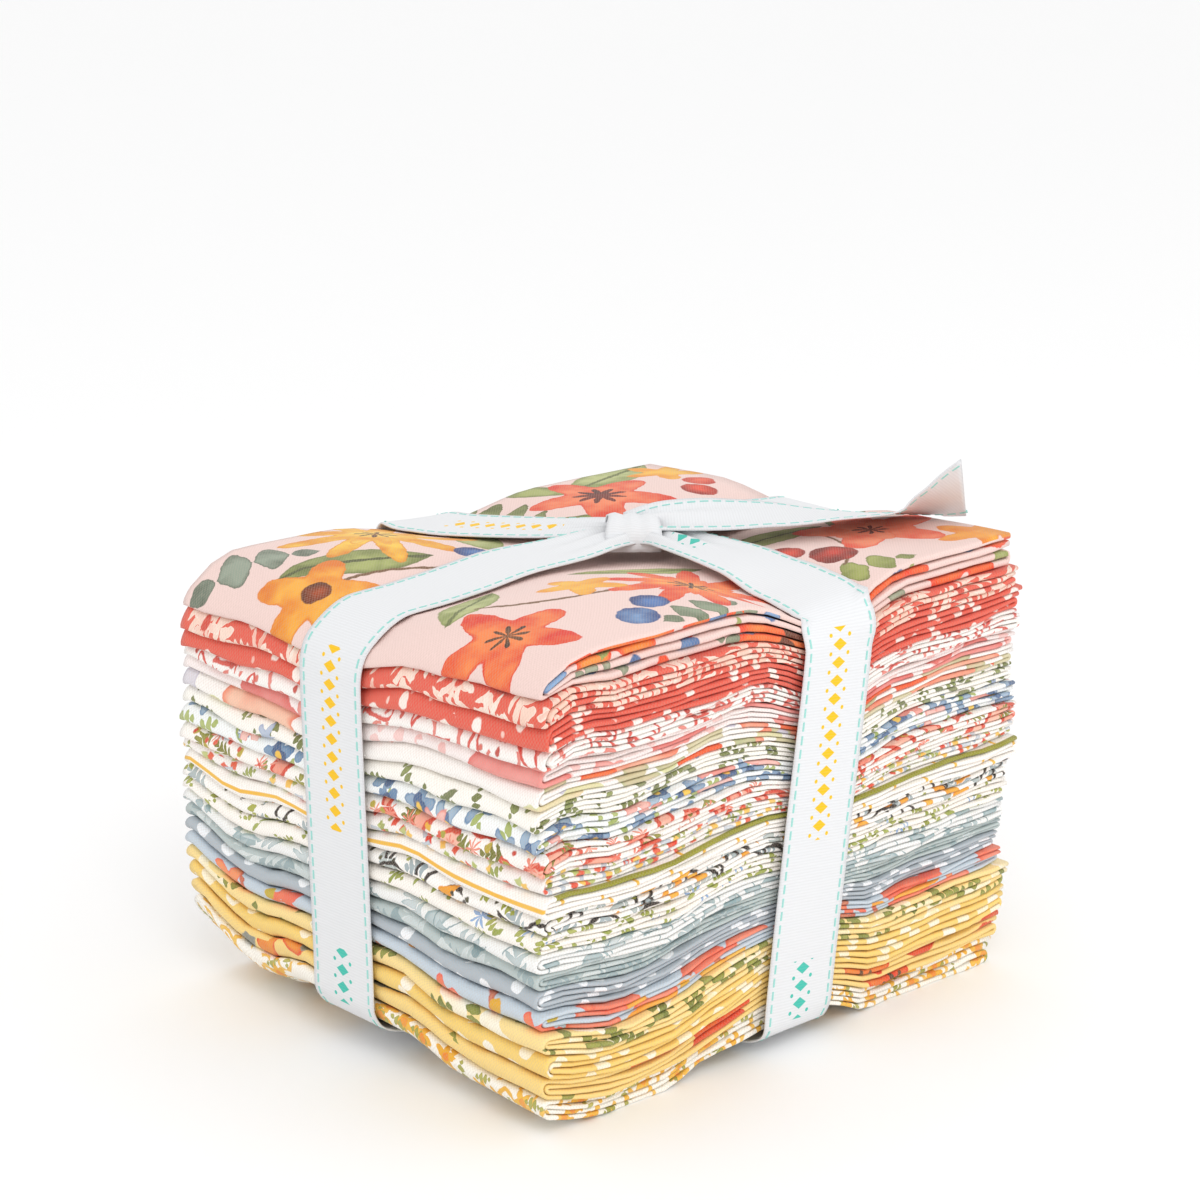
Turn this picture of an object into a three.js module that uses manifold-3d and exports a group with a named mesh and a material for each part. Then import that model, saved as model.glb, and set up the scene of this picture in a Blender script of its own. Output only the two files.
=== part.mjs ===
// Fat quarter bundle: 21 pieces of quilting cotton, each folded in four both ways, stacked with
// their last folds together and tied along and across with one ribbon.
// Millimetres, +Z up. X runs along a folded piece's long side and Y along its short side.
import * as THREE from 'three';
import { mergeVertices } from 'three/addons/utils/BufferGeometryUtils.js';
import Module from 'manifold-3d';

// A fat quarter is 18 by 22 inches, folded to a quarter of its length and of its width
const CUT_LENGTH = 558.8;
const CUT_WIDTH = 457.2;
const FOLDED_LENGTH = CUT_LENGTH / 4;
const FOLDED_WIDTH = CUT_WIDTH / 4;

// One layer of the section is a strip of four plies. Layers and pieces lie a little apart
const STRIP_THICKNESS = 0.95;
const STRIP_GAP = 0.22;
const PIECE_GAP = 0.3;
const PIECE_HEIGHT = 4 * STRIP_THICKNESS + 3 * STRIP_GAP;
const OUTER_TURN_STEPS = 4;
const INNER_TURN_STEPS = 3;

// The ribbon
const RIBBON_WIDTH = 20;
const RIBBON_THICKNESS = 1;

// Lines of the grid on which every piece is bent. The outermost pieces halve its cells
const LINES_X = [0, 22, 50, 82, 118, FOLDED_LENGTH];
const LINES_Y = [0, 26, 62, 94, FOLDED_WIDTH];

// Height of the top of the stack near its four corners, above the surface that it rests on
const TOP_CORNERS = { near: 100, right: 101.5, left: 97.5, back: 97 };

// The top rolls down to the last fold, more so at the back
const FOLD_ROLL = { near: 6.5, left: 8.5, reach: 15 };

// Soft swells and dips of the top: the cloth stands up between the ribbons and is drawn down under them
const TOP_SWELLS = [
  { place: 'near quarter', x: 38, y: 22, reachX: 36, reachY: 34, rise: 2 },
  { place: 'right quarter', x: 114, y: 26, reachX: 30, reachY: 32, rise: -0.5 },
  { place: 'left quarter', x: 34, y: 96, reachX: 32, reachY: 28, rise: 1.5 },
  { place: 'back quarter', x: 112, y: 94, reachX: 32, reachY: 28, rise: 1 },
  { place: 'ribbon at the front edge', x: 79, y: 0, reachX: 27, reachY: 50, rise: -6 },
  { place: 'front edge rolled under the ribbon', x: 80, y: 0, reachX: 18, reachY: 12, rise: -2.5 },
  { place: 'ribbon at the back edge', x: 68, y: FOLDED_WIDTH, reachX: 32, reachY: 46, rise: -4 },
  { place: 'ribbon at the fold edge', x: 16, y: 62, reachX: 56, reachY: 28, rise: -4 },
  { place: 'ribbon at the open edge', x: FOLDED_LENGTH, y: 62, reachX: 46, reachY: 30, rise: -5 },
  { place: 'under the knot', x: 82, y: 60, reachX: 40, reachY: 36, rise: -5 },
];

// The underside is flat but for the fold side, which is thinner and stands clear, and two channels
const FOLD_SIDE_LIFT = { near: 5.5, left: 10, reach: 24 };
const LEFT_CORNER_LIFT = { rise: 8, reach: 24 };
const CHANNEL_DEPTH = 3.1;
const CHANNELS = {
  along: { middle: 61, flat: 17.5, reach: 34 },
  across: { middle: 66, flat: 16.5, reach: 32 },
};
const UNDERSIDE_SWELLS = [
  { place: 'ribbon at the front edge', x: 72, y: 0, reachX: 30, reachY: 26, rise: 3.6 },
  { place: 'ribbon at the back edge', x: 62, y: FOLDED_WIDTH, reachX: 30, reachY: 22, rise: 1.4 },
];

// Where the ribbon presses the four faces
const PRESSED_Y = 62;
const PRESSED_X = 74;

// Each piece from the top down: its ground colour, how thick it lies at its fold and at its open side,
// and how far its fold side, front and open side stand in (+) or out (-) of the even stack
const PIECES = [
  { ground: '#f3d9d4', atFold: 3.5, atOpen: 3.3, left: 1.0, front: 0.0, right: 2.0 },
  { ground: '#d9625a', atFold: 4.5, atOpen: 5.3, left: -0.2, front: -1.8, right: 1.2 },
  { ground: '#db6258', atFold: 4.6, atOpen: 5.4, left: -0.1, front: -1.6, right: 0.0 },
  { ground: '#f4ebe8', atFold: 4.1, atOpen: 4.2, left: 0.2, front: -1.0, right: -0.7 },
  { ground: '#f2dcd8', atFold: 4.1, atOpen: 4.0, left: 1.1, front: 0.8, right: -1.4 },
  { ground: '#f3ece6', atFold: 4.3, atOpen: 4.2, left: 0.6, front: 1.2, right: -1.6 },
  { ground: '#f1efe4', atFold: 4.0, atOpen: 4.1, left: -0.1, front: 1.6, right: -2.0 },
  { ground: '#eef0f0', atFold: 4.4, atOpen: 4.3, left: -0.5, front: 0.7, right: -1.6 },
  { ground: '#f3e6e0', atFold: 4.3, atOpen: 4.1, left: -0.8, front: -0.8, right: -1.2 },
  { ground: '#f2efe8', atFold: 4.0, atOpen: 4.0, left: 0.2, front: -0.2, right: -0.7 },
  { ground: '#f3f0e6', atFold: 4.0, atOpen: 4.6, left: -0.8, front: -1.7, right: -0.7 },
  { ground: '#f0f0ea', atFold: 4.2, atOpen: 4.8, left: -0.1, front: -0.4, right: -0.2 },
  { ground: '#f1efe6', atFold: 4.1, atOpen: 4.8, left: -0.5, front: 0.4, right: 0.0 },
  { ground: '#eef0ef', atFold: 4.0, atOpen: 4.6, left: -0.6, front: 0.5, right: 0.0 },
  { ground: '#b9cbcd', atFold: 4.0, atOpen: 3.3, left: 0.1, front: 1.7, right: 0.0 },
  { ground: '#b7c8d0', atFold: 4.2, atOpen: 3.4, left: -0.1, front: 1.1, right: 2.0 },
  { ground: '#c3d6df', atFold: 4.2, atOpen: 3.4, left: -0.5, front: -0.2, right: 1.4 },
  { ground: '#f2e6b8', atFold: 4.3, atOpen: 5.8, left: -1.0, front: -1.5, right: 0.9 },
  { ground: '#f3d274', atFold: 4.8, atOpen: 6.6, left: -0.1, front: -1.3, right: 1.2 },
  { ground: '#f0c85e', atFold: 4.6, atOpen: 6.3, left: 0.4, front: 0.1, right: 1.6 },
  { ground: '#f2eddc', atFold: 4.6, atOpen: 6.3, left: 1.1, front: 1.6, right: 2.4 },
];

// The top piece is loose: past its fold it stands this much thicker
const TOP_PIECE_OPENING = { height: 4, reach: 22 };

// The stack leans out a little at the corner between its fold side and its back
const LEFT_CORNER_LEAN = { x: 1.6, y: 1.8, reach: 50 };

// How much of a piece's shift at the front shows at the back
const BACK_SHARE = 0.35;

// Smooth hump of height 1 that ends at a distance of 1
function hump(distance) {
  return Math.abs(distance) < 1 ? Math.cos(distance * Math.PI / 2) ** 2 : 0;
}

// Level middle of height 1 with soft shoulders
function plateau(distance, flat, reach) {
  const past = (Math.abs(distance) - flat) / (reach - flat);
  return past <= 0 ? 1 : hump(Math.min(past, 1));
}

function swellAt(swells, x, y) {
  return swells.reduce((sum, swell) => (
    sum + swell.rise * hump((x - swell.x) / swell.reachX) * hump((y - swell.y) / swell.reachY)), 0);
}

// Height of the top of the whole stack
function topOfStack(x, y) {
  const u = x / FOLDED_LENGTH;
  const v = y / FOLDED_WIDTH;
  const front = THREE.MathUtils.lerp(TOP_CORNERS.near, TOP_CORNERS.right, u);
  const back = THREE.MathUtils.lerp(TOP_CORNERS.left, TOP_CORNERS.back, u);
  const roll = THREE.MathUtils.lerp(FOLD_ROLL.near, FOLD_ROLL.left, v);
  const towardFold = Math.max(0, 1 - x / FOLD_ROLL.reach) ** 2;
  return THREE.MathUtils.lerp(front, back, v) - roll * towardFold + swellAt(TOP_SWELLS, x, y);
}

// Height of the underside of the whole stack
function undersideOfStack(x, y) {
  const foldSide = THREE.MathUtils.lerp(FOLD_SIDE_LIFT.near, FOLD_SIDE_LIFT.left, y / FOLDED_WIDTH);
  const towardFold = Math.max(0, 1 - x / FOLD_SIDE_LIFT.reach) ** 2;
  const toCorner = Math.hypot(x, y - FOLDED_WIDTH) / LEFT_CORNER_LIFT.reach;
  const corner = LEFT_CORNER_LIFT.rise * Math.max(0, 1 - toCorner) ** 2;
  const { along, across } = CHANNELS;
  const underAlong = plateau(y - along.middle, along.flat, along.reach);
  const underAcross = plateau(x - across.middle, across.flat, across.reach);
  const channel = CHANNEL_DEPTH * Math.max(underAlong, underAcross);
  return foldSide * towardFold + corner + channel + swellAt(UNDERSIDE_SWELLS, x, y);
}

// Share of the stack's height that lies above each piece's top, one more than there are pieces
function sharesAbove(x) {
  const u = x / FOLDED_LENGTH;
  const opening = TOP_PIECE_OPENING.height * THREE.MathUtils.smoothstep(x, 0, TOP_PIECE_OPENING.reach);
  const heights = PIECES.map((piece, i) => (
    THREE.MathUtils.lerp(piece.atFold, piece.atOpen, u) + (i === 0 ? opening : 0)));
  const total = heights.reduce((sum, height) => sum + height, 0);
  const shares = [0];
  heights.forEach((height) => shares.push(shares[shares.length - 1] + height / total));
  return shares;
}

// Height of the surface between two pieces: level 0 is the top of the stack
function levelHeight(level, x, y) {
  const top = topOfStack(x, y);
  return top - sharesAbove(x)[level] * (top - undersideOfStack(x, y));
}

function halvedLines(lines) {
  const halved = [lines[0]];
  for (let i = 1; i < lines.length; i++) halved.push((lines[i - 1] + lines[i]) / 2, lines[i]);
  return halved;
}

function cellOf(lines, value) {
  let cell = 0;
  while (cell < lines.length - 2 && value > lines[cell + 1]) cell++;
  return cell;
}

// A height function held at the lines' crossings, with each cell split in two flat triangles
function facetedHeight(heightAt, linesX, linesY) {
  const heights = linesX.map((x) => linesY.map((y) => heightAt(x, y)));
  return (x, y) => {
    const i = cellOf(linesX, x);
    const j = cellOf(linesY, y);
    const u = (x - linesX[i]) / (linesX[i + 1] - linesX[i]);
    const v = (y - linesY[j]) / (linesY[j + 1] - linesY[j]);
    const start = heights[i][j];
    const end = heights[i + 1][j + 1];
    const beside = u > v ? heights[i + 1][j] : heights[i][j + 1];
    return u > v
      ? start + u * (beside - start) + v * (end - beside)
      : start + v * (beside - start) + u * (end - beside);
  };
}

const FINE_X = halvedLines(LINES_X);
const FINE_Y = halvedLines(LINES_Y);
const fineTop = facetedHeight(topOfStack, FINE_X, FINE_Y);
const fineUnderside = facetedHeight(undersideOfStack, FINE_X, FINE_Y);
const levels = PIECES.map((piece, level) => (
  facetedHeight((x, y) => levelHeight(level, x, y), LINES_X, LINES_Y)));

// Closed solid between rows of matching outlines: rows[j] is the outline at one station
function solidFromRows(rows, capPairs) {
  const count = rows[0].length;
  const points = rows.flat();
  const positions = points.flatMap((point) => [point.x, point.y, point.z]);
  const faces = [];
  // A cell is split along the diagonal that rises in both X and Y, as facetedHeight splits it
  const quad = (a, b, c, d) => {
    const rising = points[c].x > points[a].x;
    faces.push(...(rising ? [a, b, c, a, c, d] : [a, b, d, b, c, d]));
  };
  for (let j = 0; j + 1 < rows.length; j++) {
    for (let k = 0; k < count; k++) {
      const next = (k + 1) % count;
      quad(j * count + k, (j + 1) * count + k, (j + 1) * count + next, j * count + next);
    }
  }
  const last = (rows.length - 1) * count;
  capPairs.forEach(([a, b, c, d]) => {
    quad(a, b, c, d);
    quad(last + d, last + c, last + b, last + a);
  });
  const geometry = new THREE.BufferGeometry();
  geometry.setAttribute('position', new THREE.Float32BufferAttribute(positions, 3));
  geometry.setIndex(faces);
  return geometry;
}

// Caps of an outline that runs up one side of a strip and back down the other
function stripCaps(steps) {
  const count = 2 * steps;
  const caps = [];
  for (let k = 0; k + 1 < steps; k++) caps.push([k, k + 1, count - 2 - k, count - 1 - k]);
  return caps;
}

// The strip's middle line in a piece's section: four legs, two nested turns at the fold side and one
// between the outer and the inner strip at the open side. along is X, up is from the piece's middle
function sectionPath(linesX, foldX, openX) {
  const outer = PIECE_HEIGHT / 2 - STRIP_THICKNESS / 2;
  const inner = (STRIP_GAP + STRIP_THICKNESS) / 2;
  const between = (outer - inner) / 2;
  const foldCentre = foldX + PIECE_HEIGHT / 2;
  const openCentre = openX - STRIP_THICKNESS / 2 - between;
  const inside = linesX.slice(1, -1);
  const path = [];
  const leg = (ends, up, towardOpen) => {
    const stations = [ends.fold, ...inside, ends.open];
    if (!towardOpen) stations.reverse();
    stations.forEach((along) => path.push({ along, up, tilt: towardOpen ? -Math.PI / 2 : Math.PI / 2 }));
  };
  const turn = (along, up, radius, from, to, steps, side) => {
    for (let k = 1; k < steps; k++) {
      const angle = THREE.MathUtils.lerp(from, to, k / steps);
      const point = { along: along + radius * Math.cos(angle), up: up + radius * Math.sin(angle) };
      path.push({ ...point, tilt: side > 0 ? angle : angle + Math.PI });
    }
  };
  leg({ fold: foldCentre, open: openX }, outer, false);
  turn(foldCentre, 0, outer, Math.PI / 2, 3 * Math.PI / 2, OUTER_TURN_STEPS, 1);
  leg({ fold: foldCentre, open: openCentre }, -outer, true);
  turn(openCentre, -(outer + inner) / 2, between, -Math.PI / 2, Math.PI / 2, INNER_TURN_STEPS, 1);
  leg({ fold: foldCentre, open: openCentre }, -inner, false);
  turn(foldCentre, 0, inner, 3 * Math.PI / 2, Math.PI / 2, INNER_TURN_STEPS, -1);
  leg({ fold: foldCentre, open: openX }, inner, true);
  return path;
}

// How much of a piece's unevenness is left near the ribbons, which press the edges flush
function looseness(distance) {
  return 1 - 0.85 * plateau(distance, RIBBON_WIDTH / 2, 1.5 * RIBBON_WIDTH);
}

// One folded fat quarter. The pieces at the top and bottom of the stack take the halved grid
function foldedPiece(index) {
  const piece = PIECES[index];
  const isTop = index === 0;
  const isBottom = index === PIECES.length - 1;
  const fine = isTop || isBottom;
  const linesX = fine ? FINE_X : LINES_X;
  const linesY = fine ? FINE_Y : LINES_Y;
  const upperFace = isTop ? fineTop : levels[index];
  const lowerFace = isBottom ? fineUnderside : levels[index + 1];

  const rowAt = (y, edgeShift) => {
    const lean = LEFT_CORNER_LEAN.x * (y / FOLDED_WIDTH) ** 2;
    const foldX = piece.left * looseness(y - PRESSED_Y) - lean;
    const openX = FOLDED_LENGTH - piece.right * looseness(y - PRESSED_Y);
    const bend = (along, up) => {
      const shift = edgeShift(along) * looseness(along - PRESSED_X);
      const high = upperFace(along, y + shift) - PIECE_GAP / 2;
      const low = lowerFace(along, y + shift) + PIECE_GAP / 2;
      const z = (high + low) / 2 + up * (high - low) / PIECE_HEIGHT;
      return new THREE.Vector3(along, y + shift, z);
    };
    const path = sectionPath(linesX, foldX, openX);
    const side = (sign) => path.map(({ along, up, tilt }) => bend(
      along + sign * STRIP_THICKNESS / 2 * Math.cos(tilt),
      up + sign * STRIP_THICKNESS / 2 * Math.sin(tilt)));
    return [...side(1), ...side(-1).reverse()];
  };

  const backLean = (x) => LEFT_CORNER_LEAN.y * Math.max(0, 1 - x / LEFT_CORNER_LEAN.reach);
  const edgeShifts = new Map([
    [0, () => piece.front],
    [linesY.length - 1, (x) => BACK_SHARE * piece.front + backLean(x)],
  ]);
  const rows = linesY.map((y, j) => rowAt(y, edgeShifts.get(j) ?? (() => 0)));
  return solidFromRows(rows, stripCaps(rows[0].length / 2));
}

// Directions that the ribbon's face points in along its way round the stack
const FACING = {
  top: new THREE.Vector3(0, 0, 1),
  front: new THREE.Vector3(0, -1, 0),
  underside: new THREE.Vector3(0, 0, -1),
  back: new THREE.Vector3(0, 1, 0),
  fold: new THREE.Vector3(-1, 0, 0),
  open: new THREE.Vector3(1, 0, 0),
};

// The ribbon's way along the stack and back to the knot. lift is how far the ribbon's middle stands over
// the highest cloth under it, and rows without it give their height z
const WRAP_ALONG = [
  { x: 83, y: 60, z: 99.5, width: 10, facing: ['top'] },
  { x: 93, y: 61, lift: 3.2, width: 14, facing: ['top'] },
  { x: 105, y: 62, lift: 1.6, width: 19, facing: ['top'] },
  { x: 120, y: 62, lift: 1.2, width: 20, facing: ['top'] },
  { x: 135, y: 62, lift: 1, width: 20, facing: ['top'] },
  { x: 140.6, y: 62, lift: 0.7, width: 20, facing: ['top', 'open'] },
  { x: 141.6, y: 62, z: 91, width: 20, facing: ['open'] },
  { x: 141.6, y: 62, z: 50, width: 20, facing: ['open'] },
  { x: 141.6, y: 61, z: 8, width: 20, facing: ['open'] },
  { x: 140.6, y: 61, z: 2.6, width: 20, facing: ['open', 'underside'] },
  { x: 135, y: 61, z: 0.9, width: 20, facing: ['underside'] },
  { x: 90, y: 61, z: 0.9, width: 20, facing: ['underside'] },
  { x: 42, y: 61, z: 0.9, width: 20, facing: ['underside'] },
  { x: 22, y: 61, z: 2.2, width: 20, facing: ['underside'] },
  { x: 8, y: 61, z: 5.6, width: 20, facing: ['underside'] },
  { x: 0.4, y: 61, z: 8.8, width: 20, facing: ['underside', 'fold'] },
  { x: -1.6, y: 61, z: 13, width: 20, facing: ['fold'] },
  { x: -1.6, y: 62, z: 48, width: 20, facing: ['fold'] },
  { x: -1.8, y: 63, z: 86, width: 20, facing: ['fold'] },
  { x: -1.1, y: 63, z: 89.6, width: 20, facing: ['fold', 'top'] },
  { x: 2.5, y: 63, lift: 1.1, width: 20, facing: ['top'] },
  { x: 10, y: 63, lift: 1.1, width: 20, facing: ['top'] },
  { x: 20, y: 63, lift: 1.2, width: 20, facing: ['top'] },
  { x: 34, y: 63, lift: 1.2, width: 20, facing: ['top'] },
  { x: 48, y: 62.5, lift: 1.4, width: 20, facing: ['top'] },
  { x: 62, y: 62, lift: 2.6, width: 18, facing: ['top'] },
  { x: 74, y: 61, lift: 4.4, width: 13, facing: ['top'] },
  { x: 83, y: 60, z: 99.5, width: 10, facing: ['top'] },
];

// Its way across the stack, from the knot down the front, underneath and up the back
const WRAP_ACROSS = [
  { x: 83, y: 60, z: 99.5, width: 10, facing: ['top'] },
  { x: 83.5, y: 50, lift: 4.2, width: 13, facing: ['top'] },
  { x: 83.5, y: 38, lift: 2.4, width: 18, facing: ['top'] },
  { x: 83, y: 26, lift: 1.4, width: 20, facing: ['top'] },
  { x: 82.5, y: 13, lift: 1.1, width: 20, facing: ['top'] },
  { x: 82, y: 3, lift: 1, width: 20, facing: ['top'] },
  { x: 81.9, y: -1, lift: 0.8, width: 20, facing: ['top', 'front'] },
  { x: 81.4, y: -2.1, z: 90.5, width: 20, facing: ['front'] },
  { x: 76, y: -2.1, z: 46, width: 20, facing: ['front'] },
  { x: 71.3, y: -2.1, z: 9.5, width: 20, facing: ['front'] },
  { x: 70.9, y: -1.1, z: 5.4, width: 20, facing: ['front', 'underside'] },
  { x: 70.6, y: 4, z: 3, width: 20, facing: ['underside'] },
  { x: 69.5, y: 20, z: 1.5, width: 20, facing: ['underside'] },
  { x: 67.5, y: 47, z: 2.3, width: 20, facing: ['underside'] },
  { x: 65.5, y: 75, z: 2.3, width: 20, facing: ['underside'] },
  { x: 62.4, y: 110, z: 1.9, width: 20, facing: ['underside'] },
  { x: 61.9, y: 115.4, z: 2.9, width: 20, facing: ['underside', 'back'] },
  { x: 61.8, y: 116.4, z: 7, width: 20, facing: ['back'] },
  { x: 62, y: 116.4, z: 48, width: 20, facing: ['back'] },
  { x: 62.3, y: 116.6, z: 88, width: 20, facing: ['back'] },
  { x: 62.6, y: 115.4, lift: 0.8, width: 20, facing: ['back', 'top'] },
  { x: 63.2, y: 111, lift: 1, width: 20, facing: ['top'] },
  { x: 64.5, y: 104, lift: 1.1, width: 20, facing: ['top'] },
  { x: 68.5, y: 92, lift: 1.3, width: 20, facing: ['top'] },
  { x: 73.5, y: 80, lift: 2.2, width: 18, facing: ['top'] },
  { x: 79, y: 69, lift: 4.2, width: 13, facing: ['top'] },
  { x: 83, y: 60, z: 99.5, width: 10, facing: ['top'] },
];

// The free end: it leaves the knot, lies along the right quarter and turns until its near edge stands up.
// nearEdgeUp is that turn in degrees
const FREE_END = [
  { x: 84, y: 59, z: 100.6, width: 9, nearEdgeUp: -20 },
  { x: 90, y: 53.4, z: 102.9, width: 13, nearEdgeUp: -12 },
  { x: 102.4, y: 43.7, z: 103.2, width: 18, nearEdgeUp: -4 },
  { x: 115, y: 34.5, z: 102.9, width: 20, nearEdgeUp: 6 },
  { x: 122.4, y: 28.6, z: 102.7, width: 20, nearEdgeUp: 9 },
  { x: 128.8, y: 22.2, z: 103.6, width: 20, nearEdgeUp: 14 },
  { x: 131.6, y: 17, z: 106.2, width: 20, nearEdgeUp: 29 },
  { x: 135, y: 11.6, z: 109.4, width: 20, nearEdgeUp: 44 },
];
const NEAR_EDGE = { x: 0.677, y: 0.736 };

// The knot: the crossing of the wraps and the turn of ribbon that is drawn tight over it
const KNOT_LUMPS = [
  { x: 83, y: 59.5, z: 100.3, radiusX: 7.6, radiusY: 6.4, radiusZ: 3.6, turn: 0 },
  { x: 85.5, y: 57.5, z: 101.4, radiusX: 4.6, radiusY: 7, radiusZ: 3.2, turn: -45 },
];
const KNOT_SIDES = 12;
const KNOT_RINGS = 8;

// A flat strip with a rectangular section through the rows' middles
function ribbonStrip(rows) {
  const middles = rows.map((row) => new THREE.Vector3(row.x, row.y, row.z));
  const outlines = rows.map((row, i) => {
    const before = middles[Math.max(0, i - 1)];
    const after = middles[Math.min(rows.length - 1, i + 1)];
    const onward = after.clone().sub(before).normalize();
    const sideways = new THREE.Vector3().crossVectors(onward, row.outward).normalize();
    const outward = new THREE.Vector3().crossVectors(sideways, onward);
    const corner = (across, out) => middles[i].clone()
      .addScaledVector(sideways, across * row.width / 2)
      .addScaledVector(outward, out * RIBBON_THICKNESS / 2);
    return [corner(1, 1), corner(-1, 1), corner(-1, -1), corner(1, -1)];
  });
  return solidFromRows(outlines, [[0, 1, 2, 3]]);
}

// across is the axis that the ribbon's width runs along
function wrapRows(rows, across) {
  return rows.map((row) => {
    const outward = new THREE.Vector3();
    row.facing.forEach((name) => outward.add(FACING[name]));
    if (row.z !== undefined) return { ...row, outward };
    const reach = [-0.5, -0.25, 0, 0.25, 0.5].map((share) => share * RIBBON_WIDTH);
    const cloth = Math.max(...reach.map((offset) => (
      across === 'x' ? fineTop(row.x + offset, row.y) : fineTop(row.x, row.y + offset))));
    return { ...row, outward, z: cloth + row.lift };
  });
}

function knotLump(lump) {
  const ball = new THREE.SphereGeometry(1, KNOT_SIDES, KNOT_RINGS);
  ball.rotateX(Math.PI / 2);
  ball.scale(lump.radiusX, lump.radiusY, lump.radiusZ);
  ball.rotateZ(THREE.MathUtils.degToRad(lump.turn));
  ball.translate(lump.x, lump.y, lump.z);
  return ball;
}

const wasm = await Module();
wasm.setup();

function toManifold(geometry) {
  geometry.deleteAttribute('normal');
  geometry.deleteAttribute('uv');
  const merged = mergeVertices(geometry, 1e-4);
  return new wasm.Manifold(new wasm.Mesh({
    numProp: 3,
    vertProperties: new Float32Array(merged.attributes.position.array),
    triVerts: new Uint32Array(merged.index.array),
  }));
}

function fromManifold(manifold) {
  const mesh = manifold.getMesh();
  const geometry = new THREE.BufferGeometry();
  geometry.setAttribute('position', new THREE.Float32BufferAttribute(mesh.vertProperties, 3));
  geometry.setIndex(Array.from(mesh.triVerts));
  return geometry;
}

// The whole ribbon in one: both wraps, the knot and the free end
function tiedRibbon() {
  const freeEnd = FREE_END.map((row) => {
    const slope = Math.tan(THREE.MathUtils.degToRad(row.nearEdgeUp));
    return { ...row, outward: new THREE.Vector3(slope * NEAR_EDGE.x, slope * NEAR_EDGE.y, 1) };
  });
  const strips = [wrapRows(WRAP_ALONG, 'y'), wrapRows(WRAP_ACROSS, 'x'), freeEnd].map(ribbonStrip);
  const parts = [...strips, ...KNOT_LUMPS.map(knotLump)].map(toManifold);
  return fromManifold(parts.reduce((whole, next) => whole.add(next)));
}

function clothMaterial(colour) {
  return new THREE.MeshStandardMaterial({ color: colour, roughness: 0.85, metalness: 0 });
}

function namedMesh(name, geometry, material) {
  geometry.computeVertexNormals();
  const mesh = new THREE.Mesh(geometry, material);
  mesh.name = name;
  return mesh;
}

const bundle = new THREE.Group();
PIECES.forEach((piece, index) => {
  const name = `fat_quarter_${String(index + 1).padStart(2, '0')}`;
  bundle.add(namedMesh(name, foldedPiece(index), clothMaterial(piece.ground)));
});
bundle.add(namedMesh('ribbon', tiedRibbon(), clothMaterial('#fbfbf8')));

// The origin is under the middle of the whole bundle, on the surface that it rests on
const extent = new THREE.Box3().setFromObject(bundle);
const middle = extent.getCenter(new THREE.Vector3());
bundle.position.set(-middle.x, -middle.y, -extent.min.z);

export default bundle;
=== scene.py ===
# %% [markdown]
# # A bundle of folded fat quarters, tied with ribbon
# A fat quarter is a piece of quilting cotton of 18 by 22 inches. Each one here is folded in four across
# and in four along, 21 of them are stacked with their last folds together, and one ribbon goes round
# the stack both ways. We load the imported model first, because every piece has to lie where its solid lies.

# %% The fixed frame
import math

import bpy
import numpy as np
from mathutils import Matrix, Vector


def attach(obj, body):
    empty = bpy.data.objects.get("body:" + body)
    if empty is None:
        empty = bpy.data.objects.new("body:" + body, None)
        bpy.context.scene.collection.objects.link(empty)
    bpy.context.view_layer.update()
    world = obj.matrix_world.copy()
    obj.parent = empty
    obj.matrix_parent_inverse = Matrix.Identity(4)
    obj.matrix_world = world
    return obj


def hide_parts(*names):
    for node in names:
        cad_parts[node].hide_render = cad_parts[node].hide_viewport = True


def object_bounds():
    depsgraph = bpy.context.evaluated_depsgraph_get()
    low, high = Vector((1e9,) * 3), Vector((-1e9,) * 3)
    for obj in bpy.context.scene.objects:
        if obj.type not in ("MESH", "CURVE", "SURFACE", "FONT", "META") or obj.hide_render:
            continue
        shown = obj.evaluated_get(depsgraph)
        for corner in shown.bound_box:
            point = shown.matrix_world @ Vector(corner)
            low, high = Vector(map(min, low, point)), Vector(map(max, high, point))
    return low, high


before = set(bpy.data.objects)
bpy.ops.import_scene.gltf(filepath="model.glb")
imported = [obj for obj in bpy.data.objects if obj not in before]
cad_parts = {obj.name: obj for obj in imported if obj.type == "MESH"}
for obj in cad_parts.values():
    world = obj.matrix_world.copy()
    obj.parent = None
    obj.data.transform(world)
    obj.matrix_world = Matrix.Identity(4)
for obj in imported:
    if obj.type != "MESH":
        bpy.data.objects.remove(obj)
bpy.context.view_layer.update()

# %% [markdown]
# ## Camera
# The picture looks down a little at the corner between the fold side and the front. The place of the
# camera was worked out from the stack's corners, whose real distances are known from the cut of the cloth.

# %% Camera
MM = 0.001
STACK_CORNER = np.array([-70.217, -57.25, -0.15])
CAMERA_PLACE = np.array([-358.28, -406.82, 266.91])
CAMERA_TURN = 42.6
CAMERA_DIP = 15.9
FOCAL_PIXELS = 3006
PICTURE_PIXELS = 1200
SENSOR_MM = 36.0


def put_in_scene(name, data):
    """A new object with this data, linked so that it shows."""
    made = bpy.data.objects.new(name, data)
    bpy.context.scene.collection.objects.link(made)
    return made


camera_data = bpy.data.cameras.new("camera")
camera_data.sensor_width = SENSOR_MM
camera_data.lens = FOCAL_PIXELS / PICTURE_PIXELS * SENSOR_MM
camera = put_in_scene("camera", camera_data)
camera.location = (CAMERA_PLACE + STACK_CORNER) * MM
camera.rotation_euler = (math.radians(90 - CAMERA_DIP), 0, math.radians(-CAMERA_TURN))
bpy.context.scene.camera = camera
print("lens:", round(camera_data.lens, 1), "mm")

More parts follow.
